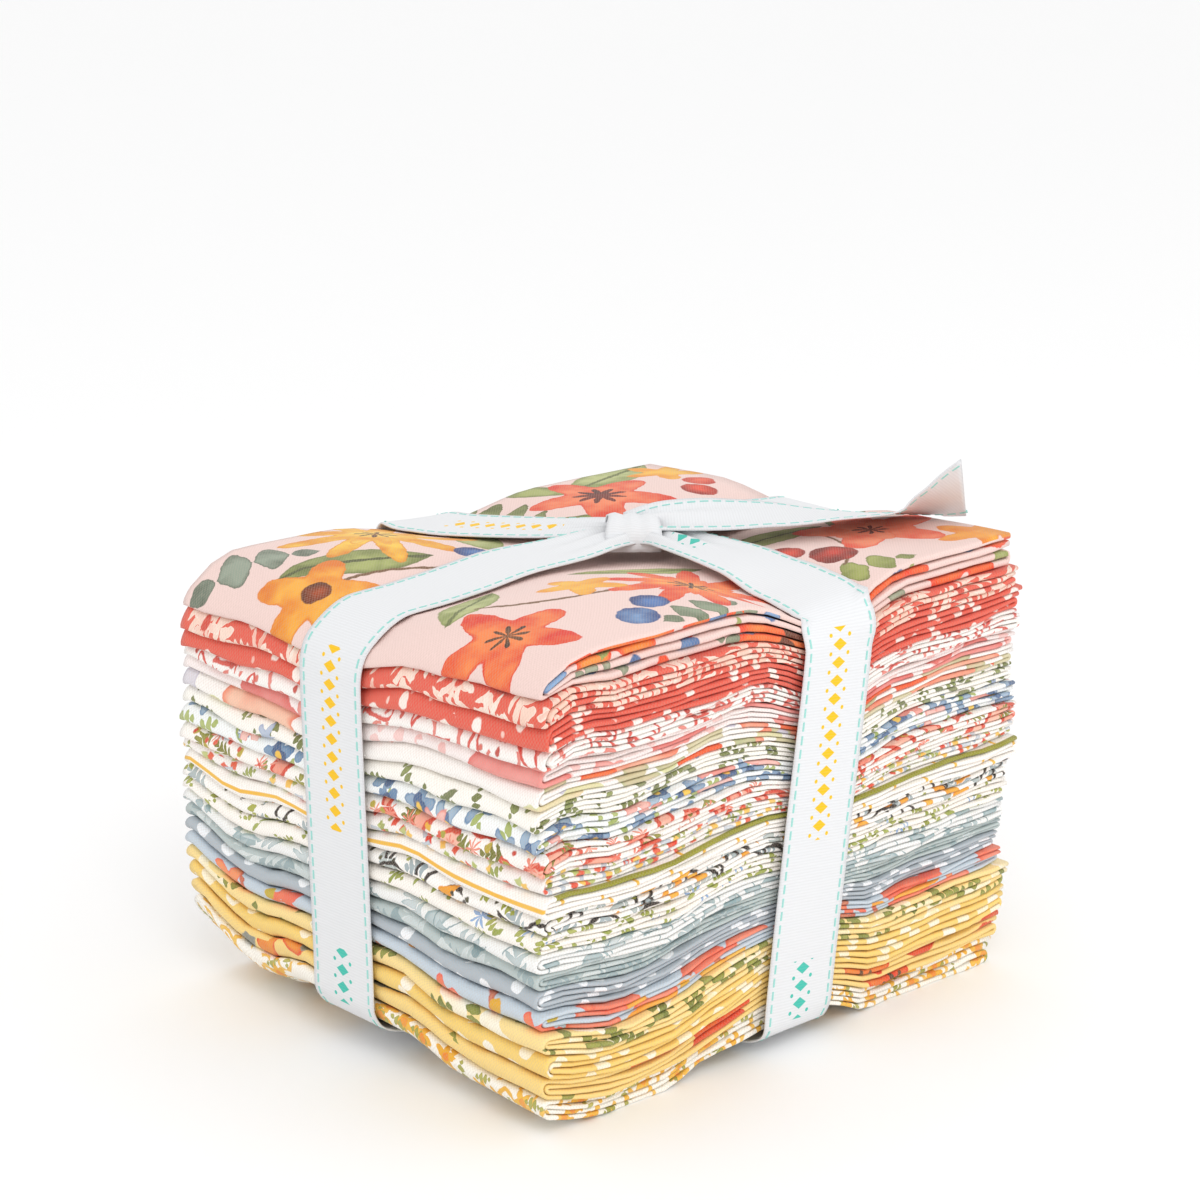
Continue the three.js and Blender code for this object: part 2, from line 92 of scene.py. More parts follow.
# %% [markdown]
# ## The stack's shape
# The cloth is soft, so no face of the stack is flat. One function gives the height of its top at every
# place and one the height of its underside. The surfaces between the pieces share out what lies between
# them, so that no two pieces can cross. These are the solids' own formulas, sampled more finely.

# %% Sizes of the cloth, in millimetres
CUT_LENGTH = 558.8
CUT_WIDTH = 457.2
FOLDED_LENGTH = CUT_LENGTH / 4
FOLDED_WIDTH = CUT_WIDTH / 4
STRIP_THICKNESS = 0.95
STRIP_GAP = 0.22
PIECE_GAP = 0.3
PIECE_HEIGHT = 4 * STRIP_THICKNESS + 3 * STRIP_GAP
PLY_PITCH = 0.25
PLY_THICKNESS = 0.2
RIBBON_WIDTH = 20.0


# %% Soft shapes
def hump(distance):
    """Smooth hump of height 1 that ends at a distance of 1."""
    return np.where(np.abs(distance) < 1, np.cos(np.clip(distance, -1, 1) * np.pi / 2) ** 2, 0.0)


def plateau(distance, flat, reach):
    """Level middle of height 1 with soft shoulders."""
    return hump(np.clip((np.abs(distance) - flat) / (reach - flat), 0, 1))


def blend_between(a, b, share):
    return a + (b - a) * share


def ripple(seed, lengths, *places):
    """Gentle unevenness between about -1 and 1. Each place is measured in its own length."""
    rng = np.random.default_rng(seed)
    total = 0.0
    for octave in (0.6, 1.0, 1.7):
        phase = rng.uniform(0, 2 * np.pi)
        for place, length in zip(places, lengths):
            phase = phase + octave * rng.uniform(0.75, 1.25) * place * 2 * np.pi / length
        total = total + np.sin(phase) / 1.8
    return total


# %% Top and underside of the stack
TOP_CORNERS = {"near": 100.0, "right": 101.5, "left": 97.5, "back": 97.0}
FOLD_ROLL = {"near": 6.5, "left": 8.5, "reach": 15.0}
# place, x, y, reach in x, reach in y, rise
TOP_SWELLS = [
    ("near quarter", 38, 22, 36, 34, 2),
    ("right quarter", 114, 26, 30, 32, -0.5),
    ("left quarter", 34, 96, 32, 28, 1.5),
    ("back quarter", 112, 94, 32, 28, 1),
    ("ribbon at the front edge", 79, 0, 27, 50, -6),
    ("front edge rolled under the ribbon", 80, 0, 18, 12, -2.5),
    ("ribbon at the back edge", 68, FOLDED_WIDTH, 32, 46, -4),
    ("ribbon at the fold edge", 16, 62, 56, 28, -4),
    ("ribbon at the open edge", FOLDED_LENGTH, 62, 46, 30, -5),
    ("under the knot", 82, 60, 40, 36, -5),
]
FOLD_SIDE_LIFT = {"near": 5.5, "left": 10.0, "reach": 24.0}
LEFT_CORNER_LIFT = {"rise": 8.0, "reach": 24.0}
CHANNEL_DEPTH = 3.1
UNDERSIDE_SWELLS = [
    ("ribbon at the front edge", 72, 0, 30, 26, 3.6),
    ("ribbon at the back edge", 62, FOLDED_WIDTH, 30, 22, 1.4),
]


def swell_at(swells, x, y):
    return sum(rise * hump((x - sx) / rx) * hump((y - sy) / ry) for _, sx, sy, rx, ry, rise in swells)


def top_of_stack(x, y):
    u = x / FOLDED_LENGTH
    v = y / FOLDED_WIDTH
    front = blend_between(TOP_CORNERS["near"], TOP_CORNERS["right"], u)
    back = blend_between(TOP_CORNERS["left"], TOP_CORNERS["back"], u)
    roll = blend_between(FOLD_ROLL["near"], FOLD_ROLL["left"], v)
    toward_fold = np.maximum(0, 1 - x / FOLD_ROLL["reach"]) ** 2
    return blend_between(front, back, v) - roll * toward_fold + swell_at(TOP_SWELLS, x, y)


def underside_of_stack(x, y):
    fold_side = blend_between(FOLD_SIDE_LIFT["near"], FOLD_SIDE_LIFT["left"], y / FOLDED_WIDTH)
    toward_fold = np.maximum(0, 1 - x / FOLD_SIDE_LIFT["reach"]) ** 2
    to_corner = np.hypot(x, y - FOLDED_WIDTH) / LEFT_CORNER_LIFT["reach"]
    corner = LEFT_CORNER_LIFT["rise"] * np.maximum(0, 1 - to_corner) ** 2
    channel = CHANNEL_DEPTH * np.maximum(plateau(y - 61, 17.5, 34), plateau(x - 66, 16.5, 32))
    return fold_side * toward_fold + corner + channel + swell_at(UNDERSIDE_SWELLS, x, y)


middle = (FOLDED_LENGTH / 2, FOLDED_WIDTH / 2)
print("height over the middle:", round(float(top_of_stack(*middle)), 1), "mm")

# %% [markdown]
# ## The pieces
# The table goes from the top of the bundle down. A piece lies a little thicker or thinner than the next,
# and its fold side, front and open side stand in or out of the even stack by up to two millimetres.
# Each row names the print that the piece is made of, and those prints come later.

# %% Table of the pieces
# print, thickness at the fold, at the open side, fold side in, front in, open side in
PIECES = [
    ("pink", 3.5, 3.3, 1.0, 0.0, 2.0),
    ("coral_leaf", 4.5, 5.3, -0.2, -1.8, 1.2),
    ("coral_dot", 4.6, 5.4, -0.1, -1.6, 0.0),
    ("white_scroll", 4.1, 4.2, 0.2, -1.0, -0.7),
    ("blush", 4.1, 4.0, 1.1, 0.8, -1.4),
    ("white_bloom", 4.3, 4.2, 0.6, 1.2, -1.6),
    ("cream_sprig", 4.0, 4.1, -0.1, 1.6, -2.0),
    ("blue_flower", 4.4, 4.3, -0.5, 0.7, -1.6),
    ("medallion", 4.3, 4.1, -0.8, -0.8, -1.2),
    ("small_floral", 4.0, 4.0, 0.2, -0.2, -0.7),
    ("line_stripe", 4.0, 4.6, -0.8, -1.7, -0.7),
    ("dark_paisley", 4.2, 4.8, -0.1, -0.4, -0.2),
    ("green_sprig", 4.1, 4.8, -0.5, 0.4, 0.0),
    ("grey_foliage", 4.0, 4.6, -0.6, 0.5, 0.0),
    ("sage_mottle", 4.0, 3.3, 0.1, 1.7, 0.0),
    ("blue_dot", 4.2, 3.4, -0.1, 1.1, 2.0),
    ("light_blue_floral", 4.2, 3.4, -0.5, -0.2, 1.4),
    ("yellow_leaf", 4.3, 5.8, -1.0, -1.5, 0.9),
    ("yellow_dot", 4.8, 6.6, -0.1, -1.3, 1.2),
    ("yellow_bloom", 4.6, 6.3, 0.4, 0.1, 1.6),
    ("yellow_floral", 4.6, 6.3, 1.1, 1.6, 2.4),
]
AT_FOLD = np.array([row[1] for row in PIECES])
AT_OPEN = np.array([row[2] for row in PIECES])
TOP_PIECE_OPENING = {"height": 4.0, "reach": 22.0}
LAYER_WAVE = {"height": 0.42, "along": 44.0, "across": 36.0, "levels": 7.0, "seed": 11}


def level_height(level, x, y):
    """Height of the surface above piece number level. Level 0 is the top of the stack."""
    eased = np.clip(x / TOP_PIECE_OPENING["reach"], 0, 1)
    opening = TOP_PIECE_OPENING["height"] * eased * eased * (3 - 2 * eased)
    u = x / FOLDED_LENGTH
    total = blend_between(AT_FOLD.sum(), AT_OPEN.sum(), u) + opening
    above = blend_between(AT_FOLD[:level].sum(), AT_OPEN[:level].sum(), u) + (opening if level else 0)
    top = top_of_stack(x, y)
    height = top - above / total * (top - underside_of_stack(x, y))
    if 0 < level < len(PIECES):
        wave = LAYER_WAVE
        lengths = (wave["along"], wave["across"], wave["levels"])
        height = height + wave["height"] * ripple(wave["seed"], lengths, x, y, level)
    return height


# %% [markdown]
# ## One folded fat quarter
# The real cloth is folded first across its width: four plies, with one fold inside another along the
# front. That strip is then folded in four along its length, so the fold side shows one soft roll for a
# piece and the front shows four narrow noses. We follow the flat cloth's own grid through both folds.
# Its flat place, in millimetres, is kept as a UV map, so a print runs round every fold as on real cloth.

# %% Across the cloth: four plies
OUTER_STATIONS = np.concatenate([[0, 0.012, 0.03], np.linspace(0.06, 0.985, 19), [1]])
INNER_STATIONS = np.concatenate([[0, 0.03], np.linspace(0.08, 0.96, 10), [1]])


def half_turn(centre, radius, start, end, steps):
    """Points inside a half circle, without its two ends, as (place, height) pairs."""
    angles = np.linspace(start, end, steps + 1)[1:-1]
    return [(centre[0] + radius * math.cos(a), centre[1] + radius * math.sin(a)) for a in angles]


def ply_section():
    """The width of the cloth as (y, offset from the strip's middle), from one selvedge to the other."""
    outer = 1.5 * PLY_PITCH
    inner = 0.5 * PLY_PITCH
    nose = outer + PLY_THICKNESS / 2
    reach = FOLDED_WIDTH - nose
    turned = FOLDED_WIDTH - PLY_PITCH
    section = [(nose + share * reach, outer) for share in reversed(OUTER_STATIONS)]
    section += half_turn((nose, 0), outer, math.pi / 2, 3 * math.pi / 2, 6)
    section += [(nose + share * (turned - nose), -outer) for share in OUTER_STATIONS]
    section += half_turn((turned, -PLY_PITCH), inner, -math.pi / 2, math.pi / 2, 3)
    section += [(nose + share * (turned - nose), -inner) for share in reversed(INNER_STATIONS)]
    section += half_turn((nose, 0), inner, 3 * math.pi / 2, math.pi / 2, 3)
    section += [(nose + share * reach, inner) for share in INNER_STATIONS]
    return np.array(section)


PLY_SECTION = ply_section()
print("points across the cloth:", len(PLY_SECTION))

# %% Along the cloth: four legs
LEG_STEPS = 25


def leg_path():
    """The length of the cloth as rows of (share of the way to the open side, step past the fold or
    open side's centre, height from the piece's middle, turn of the strip, whether it ends tucked in)."""
    outer = PIECE_HEIGHT / 2 - STRIP_THICKNESS / 2
    inner = (STRIP_GAP + STRIP_THICKNESS) / 2
    between = (outer - inner) / 2
    shares = np.linspace(0, 1, LEG_STEPS + 1)
    half = math.pi / 2
    rows = [(share, 0, outer, half, 0) for share in reversed(shares)]
    for angle in np.linspace(half, 3 * half, 8)[1:-1]:
        rows.append((0, outer * math.cos(angle), outer * math.sin(angle), angle, 0))
    rows += [(share, 0, -outer, 3 * half, 1) for share in shares]
    for angle in np.linspace(-half, half, 6)[1:-1]:
        height = -(outer + inner) / 2 + between * math.sin(angle)
        rows.append((1, between * math.cos(angle), height, angle + 4 * half, 1))
    rows += [(share, 0, -inner, 5 * half, 1) for share in reversed(shares)]
    for angle in np.linspace(3 * half, half, 6)[1:-1]:
        rows.append((0, inner * math.cos(angle), inner * math.sin(angle), angle + 2 * half, 0))
    rows += [(share, 0, inner, 3 * half, 0) for share in shares]
    return np.array(rows)


LEG_PATH = leg_path()
print("points along the cloth:", len(LEG_PATH))

# %% [markdown]
# Now the flat grid is bent into its place. The edges of real pieces stand in and out a little, and their
# folds wander, except where the ribbon presses them flush. A cloth simulation would lose the count of
# plies, so each point is placed by formula, between the surfaces above and below its piece.

# %% Bending the grid into the stack
PRESSED_X = 74.0
PRESSED_Y = 62.0
PRESSED_SHARE = 0.85
EDGE_REACH = {"front": 26.0, "back": 20.0}
BACK_SHARE = 0.35
CORNER_LEAN = {"x": 1.6, "y": 1.8, "reach": 50.0}
NOSE_WANDER = {"reach": 0.5, "length": 34.0}
FOLD_WANDER = {"reach": 0.4, "length": 46.0, "along": 60.0}


def looseness(distance):
    """How much of a piece's unevenness is left: the ribbons press the edges flush."""
    return 1 - PRESSED_SHARE * plateau(distance, RIBBON_WIDTH / 2, 1.5 * RIBBON_WIDTH)


def distances(points):
    """How far along a row of points each of them is."""
    steps = np.linalg.norm(np.diff(points, axis=0), axis=1)
    return np.concatenate([[0], np.cumsum(steps)])


def folded_cloth(index):
    """Points of one fat quarter as a grid of (along, across, xyz), and each point's flat place."""
    _, _, _, left, front, right = PIECES[index]
    share, past, up, turn, tucked = (column[:, None] for column in LEG_PATH.T)
    section_y, offset = (column[None, :] for column in PLY_SECTION.T)
    leg_length = FOLDED_LENGTH - PIECE_HEIGHT / 2
    flat_u = distances(np.stack([LEG_PATH[:, 0] * leg_length + LEG_PATH[:, 1], LEG_PATH[:, 2]], 1))
    flat_v = distances(PLY_SECTION)
    flat_u = flat_u[:, None] * CUT_LENGTH / flat_u[-1]
    flat_v = flat_v[None, :] * CUT_WIDTH / flat_v[-1]

    rough_x = share * FOLDED_LENGTH + 0 * section_y
    wander = NOSE_WANDER["reach"] * ripple(100 + index, (NOSE_WANDER["length"],), flat_u)
    near_front = np.maximum(0, 1 - section_y / EDGE_REACH["front"])
    near_back = np.maximum(0, 1 - (FOLDED_WIDTH - section_y) / EDGE_REACH["back"])
    lean_back = CORNER_LEAN["y"] * np.maximum(0, 1 - rough_x / CORNER_LEAN["reach"])
    shift = near_front * (front + wander) + near_back * (BACK_SHARE * (front + wander) + lean_back)
    y = section_y + shift * looseness(rough_x - PRESSED_X)

    wander = FOLD_WANDER["reach"] * ripple(200 + index, (FOLD_WANDER["length"],), y)
    loose = looseness(y - PRESSED_Y)
    fold_x = (left + wander) * loose - CORNER_LEAN["x"] * (y / FOLDED_WIDTH) ** 2 + PIECE_HEIGHT / 2
    lengths = (FOLD_WANDER["along"], FOLD_WANDER["length"])
    wander = FOLD_WANDER["reach"] * ripple(300 + index, lengths, flat_u, y)
    between = (PIECE_HEIGHT / 2 - STRIP_THICKNESS - STRIP_GAP / 2) / 2
    open_x = FOLDED_LENGTH - (right + wander) * loose - tucked * (STRIP_THICKNESS / 2 + between)
    x = blend_between(fold_x, open_x, share) + past + offset * np.cos(turn)
    rise = up + offset * np.sin(turn)

    high = level_height(index, x, y) - PIECE_GAP / 2
    low = level_height(index + 1, x, y) + PIECE_GAP / 2
    z = (high + low) / 2 + rise * (high - low) / PIECE_HEIGHT
    flat = np.stack(np.broadcast_arrays(flat_u, flat_v), -1)
    return np.stack([x, y, z], -1), flat

# %% [markdown]
# A grid of points becomes a mesh of quads. Cotton is thin but has two faces, so a Solidify modifier gives
# the cloth its thickness. That is simpler than making both faces by hand, and it closes the edges.

# %% A grid of points as a mesh
FLAT_MAP = "flat_place"


def mesh_from_grid(name, points, flat):
    """Quads between neighbouring points. flat is each point's place on the cloth before it was folded."""
    rows, columns = points.shape[:2]
    places = (points.reshape(-1, 3) + STACK_CORNER) * MM
    corners = np.arange(rows * columns).reshape(rows, columns)
    quads = np.stack([corners[:-1, :-1], corners[:-1, 1:], corners[1:, 1:], corners[1:, :-1]], -1)
    mesh = bpy.data.meshes.new(name)
    mesh.from_pydata(places.tolist(), [], quads.reshape(-1, 4).tolist())
    layer = mesh.uv_layers.new(name=FLAT_MAP)
    flat_corners = flat.reshape(-1, 2)[quads.reshape(-1)]
    layer.data.foreach_set("uv", flat_corners.astype(np.float32).ravel())
    mesh.polygons.foreach_set("use_smooth", [True] * len(mesh.polygons))
    mesh.update()
    return put_in_scene(name, mesh)


def thicken(piece, thickness):
    modifier = piece.modifiers.new("thickness", "SOLIDIFY")
    modifier.thickness = thickness * MM
    modifier.offset = 0
    return modifier


fat_quarters = []
for index, row in enumerate(PIECES):
    cloth = mesh_from_grid(f"cloth_{index + 1:02d}_{row[0]}", *folded_cloth(index))
    thicken(cloth, PLY_THICKNESS)
    fat_quarters.append(cloth)
print("fat quarters:", len(fat_quarters), "with", len(fat_quarters[0].data.polygons), "quads each")

# %% [markdown]
# ## The ribbon
# The ribbon is one flat band that goes round the stack along and across. Its way is a table of places,
# and on top of the stack most of them are given by how far they lift off the cloth. We run a smooth
# curve through the places, lay the band's width across it, and then push up whatever would sink into
# the cloth. Towards the knot the band is drawn together, so it narrows and stands in small pleats.

# %% The ribbon's way round the stack
FACING = {
    "top": (0, 0, 1),
    "leaning_top": (-0.13, 0, 1),
    "underside": (0, 0, -1),
    "front": (0, -1, 0),
    "back": (0, 1, 0),
    "fold": (-1, 0, 0),
    "open": (1, 0, 0),
}
# x, y, "z" for a height or "lift" for a height over the cloth, its value, width, facing
WRAP_ALONG = [
    (84, 60, "z", 99.7, 9, "top"),
    (93, 61, "lift", 3.4, 14, "top"),
    (105, 62, "lift", 1.4, 19, "top"),
    (120, 62, "lift", 0.7, 20, "top"),
    (134, 62, "lift", 0.6, 20, "top"),
    (139.9, 62, "lift", 0.1, 20, "top open"),
    (141.5, 62, "z", 90, 20, "open"),
    (141.5, 62, "z", 50, 20, "open"),
    (141.5, 61, "z", 8, 20, "open"),
    (140.4, 61, "z", 2.4, 20, "open underside"),
    (135, 61, "z", 0.7, 20, "underside"),
    (90, 61, "z", 0.9, 20, "underside"),
    (42, 61, "z", 0.9, 20, "underside"),
    (22, 61, "z", 2.2, 20, "underside"),
    (8, 61, "z", 5.7, 20, "underside"),
    (0.6, 61, "z", 9.2, 20, "underside fold"),
    (-1.3, 61, "z", 13.5, 20, "fold"),
    (-1.3, 62, "z", 48, 20, "fold"),
    (-1.4, 63, "z", 83, 20, "fold"),
    (-0.2, 63, "z", 88.6, 20, "fold top"),
    (4.5, 63, "lift", 0.6, 20, "top"),
    (12, 63, "lift", 0.5, 20, "top"),
    (22, 63, "lift", 0.5, 20, "top"),
    (34, 63, "lift", 0.7, 20, "top"),
    (48, 62.5, "lift", 1.2, 20, "top"),
    (62, 62, "lift", 2.4, 18, "top"),
    (74, 61, "lift", 4.6, 13, "top"),
    (82, 60, "z", 99.7, 9, "top"),
]
WRAP_ACROSS = [
    (83, 59, "z", 99.2, 9, "top"),
    (83.5, 50, "lift", 4.4, 13, "top"),
    (83.5, 38, "lift", 2.2, 18, "top"),
    (83, 26, "lift", 0.8, 20, "top"),
    (82.5, 13, "z", 97.6, 20, "leaning_top"),
    (82.2, 6, "z", 96.7, 20, "leaning_top"),
    (82.0, 2, "z", 95.5, 20, "leaning_top leaning_top front"),
    (81.9, -0.4, "z", 93.3, 20, "leaning_top front"),
    (81.7, -1.6, "z", 90.4, 20, "leaning_top front front"),
    (81.3, -1.9, "z", 86.5, 20, "front"),
    (76, -1.7, "z", 46, 20, "front"),
    (71.4, -1.7, "z", 10, 20, "front"),
    (70.9, -0.8, "z", 5.2, 20, "front underside"),
    (70.6, 4, "z", 3, 20, "underside"),
    (69.5, 20, "z", 1.5, 20, "underside"),
    (67.5, 47, "z", 2.3, 20, "underside"),
    (65.5, 75, "z", 2.3, 20, "underside"),
    (62.4, 110, "z", 1.9, 20, "underside"),
    (61.9, 115.2, "z", 3.2, 20, "underside back"),
    (61.8, 116.3, "z", 8, 20, "back"),
    (62, 116.3, "z", 48, 20, "back"),
    (62.3, 116.3, "z", 87, 20, "back"),
    (62.6, 114.8, "lift", 0.3, 20, "back top"),
    (63.2, 110, "lift", 0.6, 20, "top"),
    (64.5, 103, "lift", 0.6, 20, "top"),
    (68.5, 92, "lift", 0.9, 20, "top"),
    (73.5, 80, "lift", 2.0, 18, "top"),
    (79, 69, "lift", 4.4, 13, "top"),
    (83, 61, "z", 99.9, 9, "top"),
]


def unit(directions):
    """The same directions with a length of 1."""
    return directions / np.linalg.norm(directions, axis=-1, keepdims=True)


def resolved_rows(rows, across):
    """Each row as x, y, z, outward direction and width. across is the axis that the width runs along."""
    resolved = []
    offsets = np.linspace(-0.5, 0.5, 9) * RIBBON_WIDTH
    for x, y, kind, value, width, facing in rows:
        outward = unit(np.sum([FACING[name] for name in facing.split()], axis=0))
        if kind == "lift":
            inside = np.clip(x, 0, FOLDED_LENGTH), np.clip(y, 0, FOLDED_WIDTH)
            under = (inside[0] + offsets, inside[1]) if across == "x" else (inside[0], inside[1] + offsets)
            value = float(np.max(top_of_stack(*under))) + value
        resolved.append([x, y, value, *outward, width])
    return np.array(resolved, float)

# %% [markdown]
# A curve through uneven places can swing past them, and a ribbon under tension never does. So the curve's
# tangents are limited. The band then gets its width, its pleats and a cloth-hugging height, and where it
# ends free the cut can slant.

# %% A smooth band through the rows
BAND_STEP = 1.0
BAND_COLUMNS = 15
RIBBON_THICKNESS = 0.35
RIBBON_CLEARANCE = 0.35
SLANT_REACH = 18.0
TOP_STARTS_AT = 60.0


def smooth_through(rows, step):
    """Rows at even steps on a smooth curve (Hermite's) through the given rows, with no swing past them."""
    spans = np.linalg.norm(np.diff(rows[:, :3], axis=0), axis=1)[:, None]
    slopes = np.diff(rows, axis=0) / spans
    inner = (spans[1:] * slopes[:-1] + spans[:-1] * slopes[1:]) / (spans[:-1] + spans[1:])
    steepest = 2 * np.minimum(np.abs(slopes[:-1]), np.abs(slopes[1:])) * (slopes[:-1] * slopes[1:] > 0)
    inner = np.clip(inner, -steepest, steepest)
    tangents = np.vstack([slopes[:1], inner, slopes[-1:]])
    out = []
    for i, span in enumerate(spans[:, 0]):
        pieces = max(2, round(span / step))
        for t in np.arange(pieces) / pieces:
            places = (2 * t ** 3 - 3 * t ** 2 + 1) * rows[i] + (3 * t ** 2 - 2 * t ** 3) * rows[i + 1]
            pulls = (t ** 3 - 2 * t ** 2 + t) * tangents[i] + (t ** 3 - t ** 2) * tangents[i + 1]
            out.append(places + span * pulls)
    out.append(rows[-1])
    return np.array(out)


def band(rows, pleats, conform=True, slant=0.0, pleat_depth=2.6):
    """A band of ribbon as a grid of points, each point's flat place, and each station's directions."""
    rows = smooth_through(rows, BAND_STEP)
    middle = rows[:, :3]
    onward = unit(np.gradient(middle, axis=0))
    sideways = unit(np.cross(onward, rows[:, 3:6]))
    outward = np.cross(sideways, onward)
    share = np.linspace(-1, 1, BAND_COLUMNS)
    width = rows[:, 6]
    drawn_in = np.clip(1 - width / RIBBON_WIDTH, 0, 1)
    pleat = pleat_depth * drawn_in[:, None] * np.cos(pleats * np.pi * share[None, :] + 0.6)
    points = (middle[:, None, :] + sideways[:, None, :] * (share[None, :] * width[:, None] / 2)[..., None]
              + outward[:, None, :] * pleat[..., None])
    along = distances(middle)
    near_end = np.clip(1 - (along[-1] - along) / SLANT_REACH, 0, 1) ** 2
    slide = slant * near_end[:, None] * share[None, :]
    points = points + onward[:, None, :] * slide[..., None]
    if conform:
        x, y, z = points[..., 0], points[..., 1], points[..., 2]
        over = (x > 0) & (x < FOLDED_LENGTH) & (y > 0) & (y < FOLDED_WIDTH) & (z > TOP_STARTS_AT)
        cloth = top_of_stack(np.clip(x, 0, FOLDED_LENGTH), np.clip(y, 0, FOLDED_WIDTH))
        points[..., 2] = np.where(over, np.maximum(z, cloth + RIBBON_CLEARANCE), z)
    flat = np.stack(np.broadcast_arrays(along[:, None] + slide, share[None, :] * RIBBON_WIDTH / 2), -1)
    return points, flat, outward

# %% [markdown]
# From the knot one end lies over the cloth and twists until it stands on its edge. The knot itself is the
# wraps drawn together and one short turn of ribbon over them, which is all that shows of it.

# %% The free end and the turn of ribbon over the knot
NEAR_EDGE = np.array([0.677, 0.736])
# x, y, z, width, how far the edge nearest the camera is turned up, in degrees
FREE_END = [
    (80.5, 61.5, 100.6, 8, -24),
    (84.5, 58, 102.2, 10, -22),
    (90, 53.4, 103.0, 14.5, -14),
    (96, 48.6, 103.3, 17.5, -9),
    (102.4, 43.7, 103.3, 19, -4),
    (109, 38.6, 103.1, 20, 1),
    (115, 34.5, 102.8, 20, 7),
    (122.4, 28.6, 102.6, 20, 12),
    (128.8, 22.2, 103.4, 20, 17),
    (132, 17.3, 105.8, 20, 29),
    (135.3, 11.8, 109.6, 20, 43),
]
# The turn over the knot runs away from the camera: distance along that way, z, width
OVER_KNOT = [
    (-7.0, 97.0, 12),
    (-6.6, 99.8, 12.5),
    (-4.6, 102.2, 12),
    (0, 103.4, 11),
    (4.6, 102.4, 12),
    (6.4, 99.8, 12.5),
    (6.6, 97.0, 12),
]
KNOT_MIDDLE = np.array([81.5, 60.5])
KNOT_HEIGHT = 98.5


def turned_rows(rows):
    out = []
    for x, y, z, width, turn in rows:
        slope = math.tan(math.radians(turn))
        out.append([x, y, z, *unit(np.array([*(slope * NEAR_EDGE), 1.0])), width])
    return np.array(out, float)


def over_knot_rows():
    out = []
    for away, z, width in OVER_KNOT:
        place = KNOT_MIDDLE + away * NEAR_EDGE
        out.append([*place, z, *unit(np.array([*(away * NEAR_EDGE), z - KNOT_HEIGHT])), width])
    return np.array(out, float)


bands = {
    "along": band(resolved_rows(WRAP_ALONG, "y"), 3),
    "across": band(resolved_rows(WRAP_ACROSS, "x"), 3),
    "free_end": band(turned_rows(FREE_END), 2, slant=4.6),
    "over_knot": band(over_knot_rows(), 3, conform=False, pleat_depth=0.6),
}
for name, (points, flat, outward) in bands.items():
    print(name, "is", round(float(flat[-1, 0, 0])), "mm long")

# %% The bands joined into one ribbon
STRIP_SHIFT = 1000.0
ribbon_parts = []
for number, (name, (points, flat, _)) in enumerate(bands.items()):
    ribbon_parts.append(mesh_from_grid(f"ribbon_{name}", points, flat + [number * STRIP_SHIFT, 0]))
with bpy.context.temp_override(active_object=ribbon_parts[0], selected_editable_objects=ribbon_parts):
    bpy.ops.object.join()
ribbon = ribbon_parts[0]
ribbon.name = "tied_ribbon"
thicken(ribbon, RIBBON_THICKNESS)

# %% [markdown]
# ## A plain material
# Thread and floor have no pattern, so a colour and a roughness are all that they need. Colours are written
# as six digits, as on a screen, and a shader takes them in linear light.

# %% A plain material
def linear(colour):
    """A colour given as six hexadecimal digits, as the numbers that a shader takes."""
    channels = [int(colour[i:i + 2], 16) / 255 for i in (1, 3, 5)]
    return (*[c / 12.92 if c <= 0.04045 else ((c + 0.055) / 1.055) ** 2.4 for c in channels], 1)


def plain_material(name, colour, roughness):
    material = bpy.data.materials.new(name)
    material.use_nodes = True
    shader = material.node_tree.nodes["Principled BSDF"]
    shader.inputs["Base Color"].default_value = colour
    shader.inputs["Roughness"].default_value = roughness
    return material

# %% [markdown]
# ## Stitches
# A line of mint thread runs near each edge of the ribbon. Stitches repeat along a path, so Geometry Nodes
# make them: each line becomes evenly spaced points, and every point gets one short dash that lies along
# the ribbon. The result is turned into a plain mesh, because an export leaves instances out.

# %% The stitched lines
STITCH_FROM_MIDDLE = 8.0
STITCH_LIFT = 0.03
STITCH_SIZES = {"Stitch pitch": 2.9, "Stitch length": 1.9, "Thread width": 0.42, "Thread height": 0.16}
# band, face: 1 is the outside, -1 the inside
STITCHED_FACES = (("along", 1), ("across", 1), ("free_end", 1), ("free_end", -1))


def stitch_lines():
    """The two lines on each band as one mesh of edges, with the ribbon's outward direction on each point."""
    places, edges, directions = [], [], []
    for name, face in STITCHED_FACES:
        points, flat, outward = bands[name]
        outward = outward * face
        across = flat[0, :, 1]
        for side in (-1, 1):
            column = int(np.argmin(np.abs(across - side * STITCH_FROM_MIDDLE)))
            line = (points[:, column] + outward * (RIBBON_THICKNESS / 2 + STITCH_LIFT))[1:-1]
            first = len(places)
            places += ((line + STACK_CORNER) * MM).tolist()
            directions += outward[1:-1].tolist()
            edges += [(first + i, first + i + 1) for i in range(len(line) - 1)]
    mesh = bpy.data.meshes.new("stitch_lines")
    mesh.from_pydata(places, edges, [])
    outward_attribute = mesh.attributes.new("outward", "FLOAT_VECTOR", "POINT")
    outward_attribute.data.foreach_set("vector", np.array(directions, np.float32).ravel())
    return put_in_scene("stitch_lines", mesh)


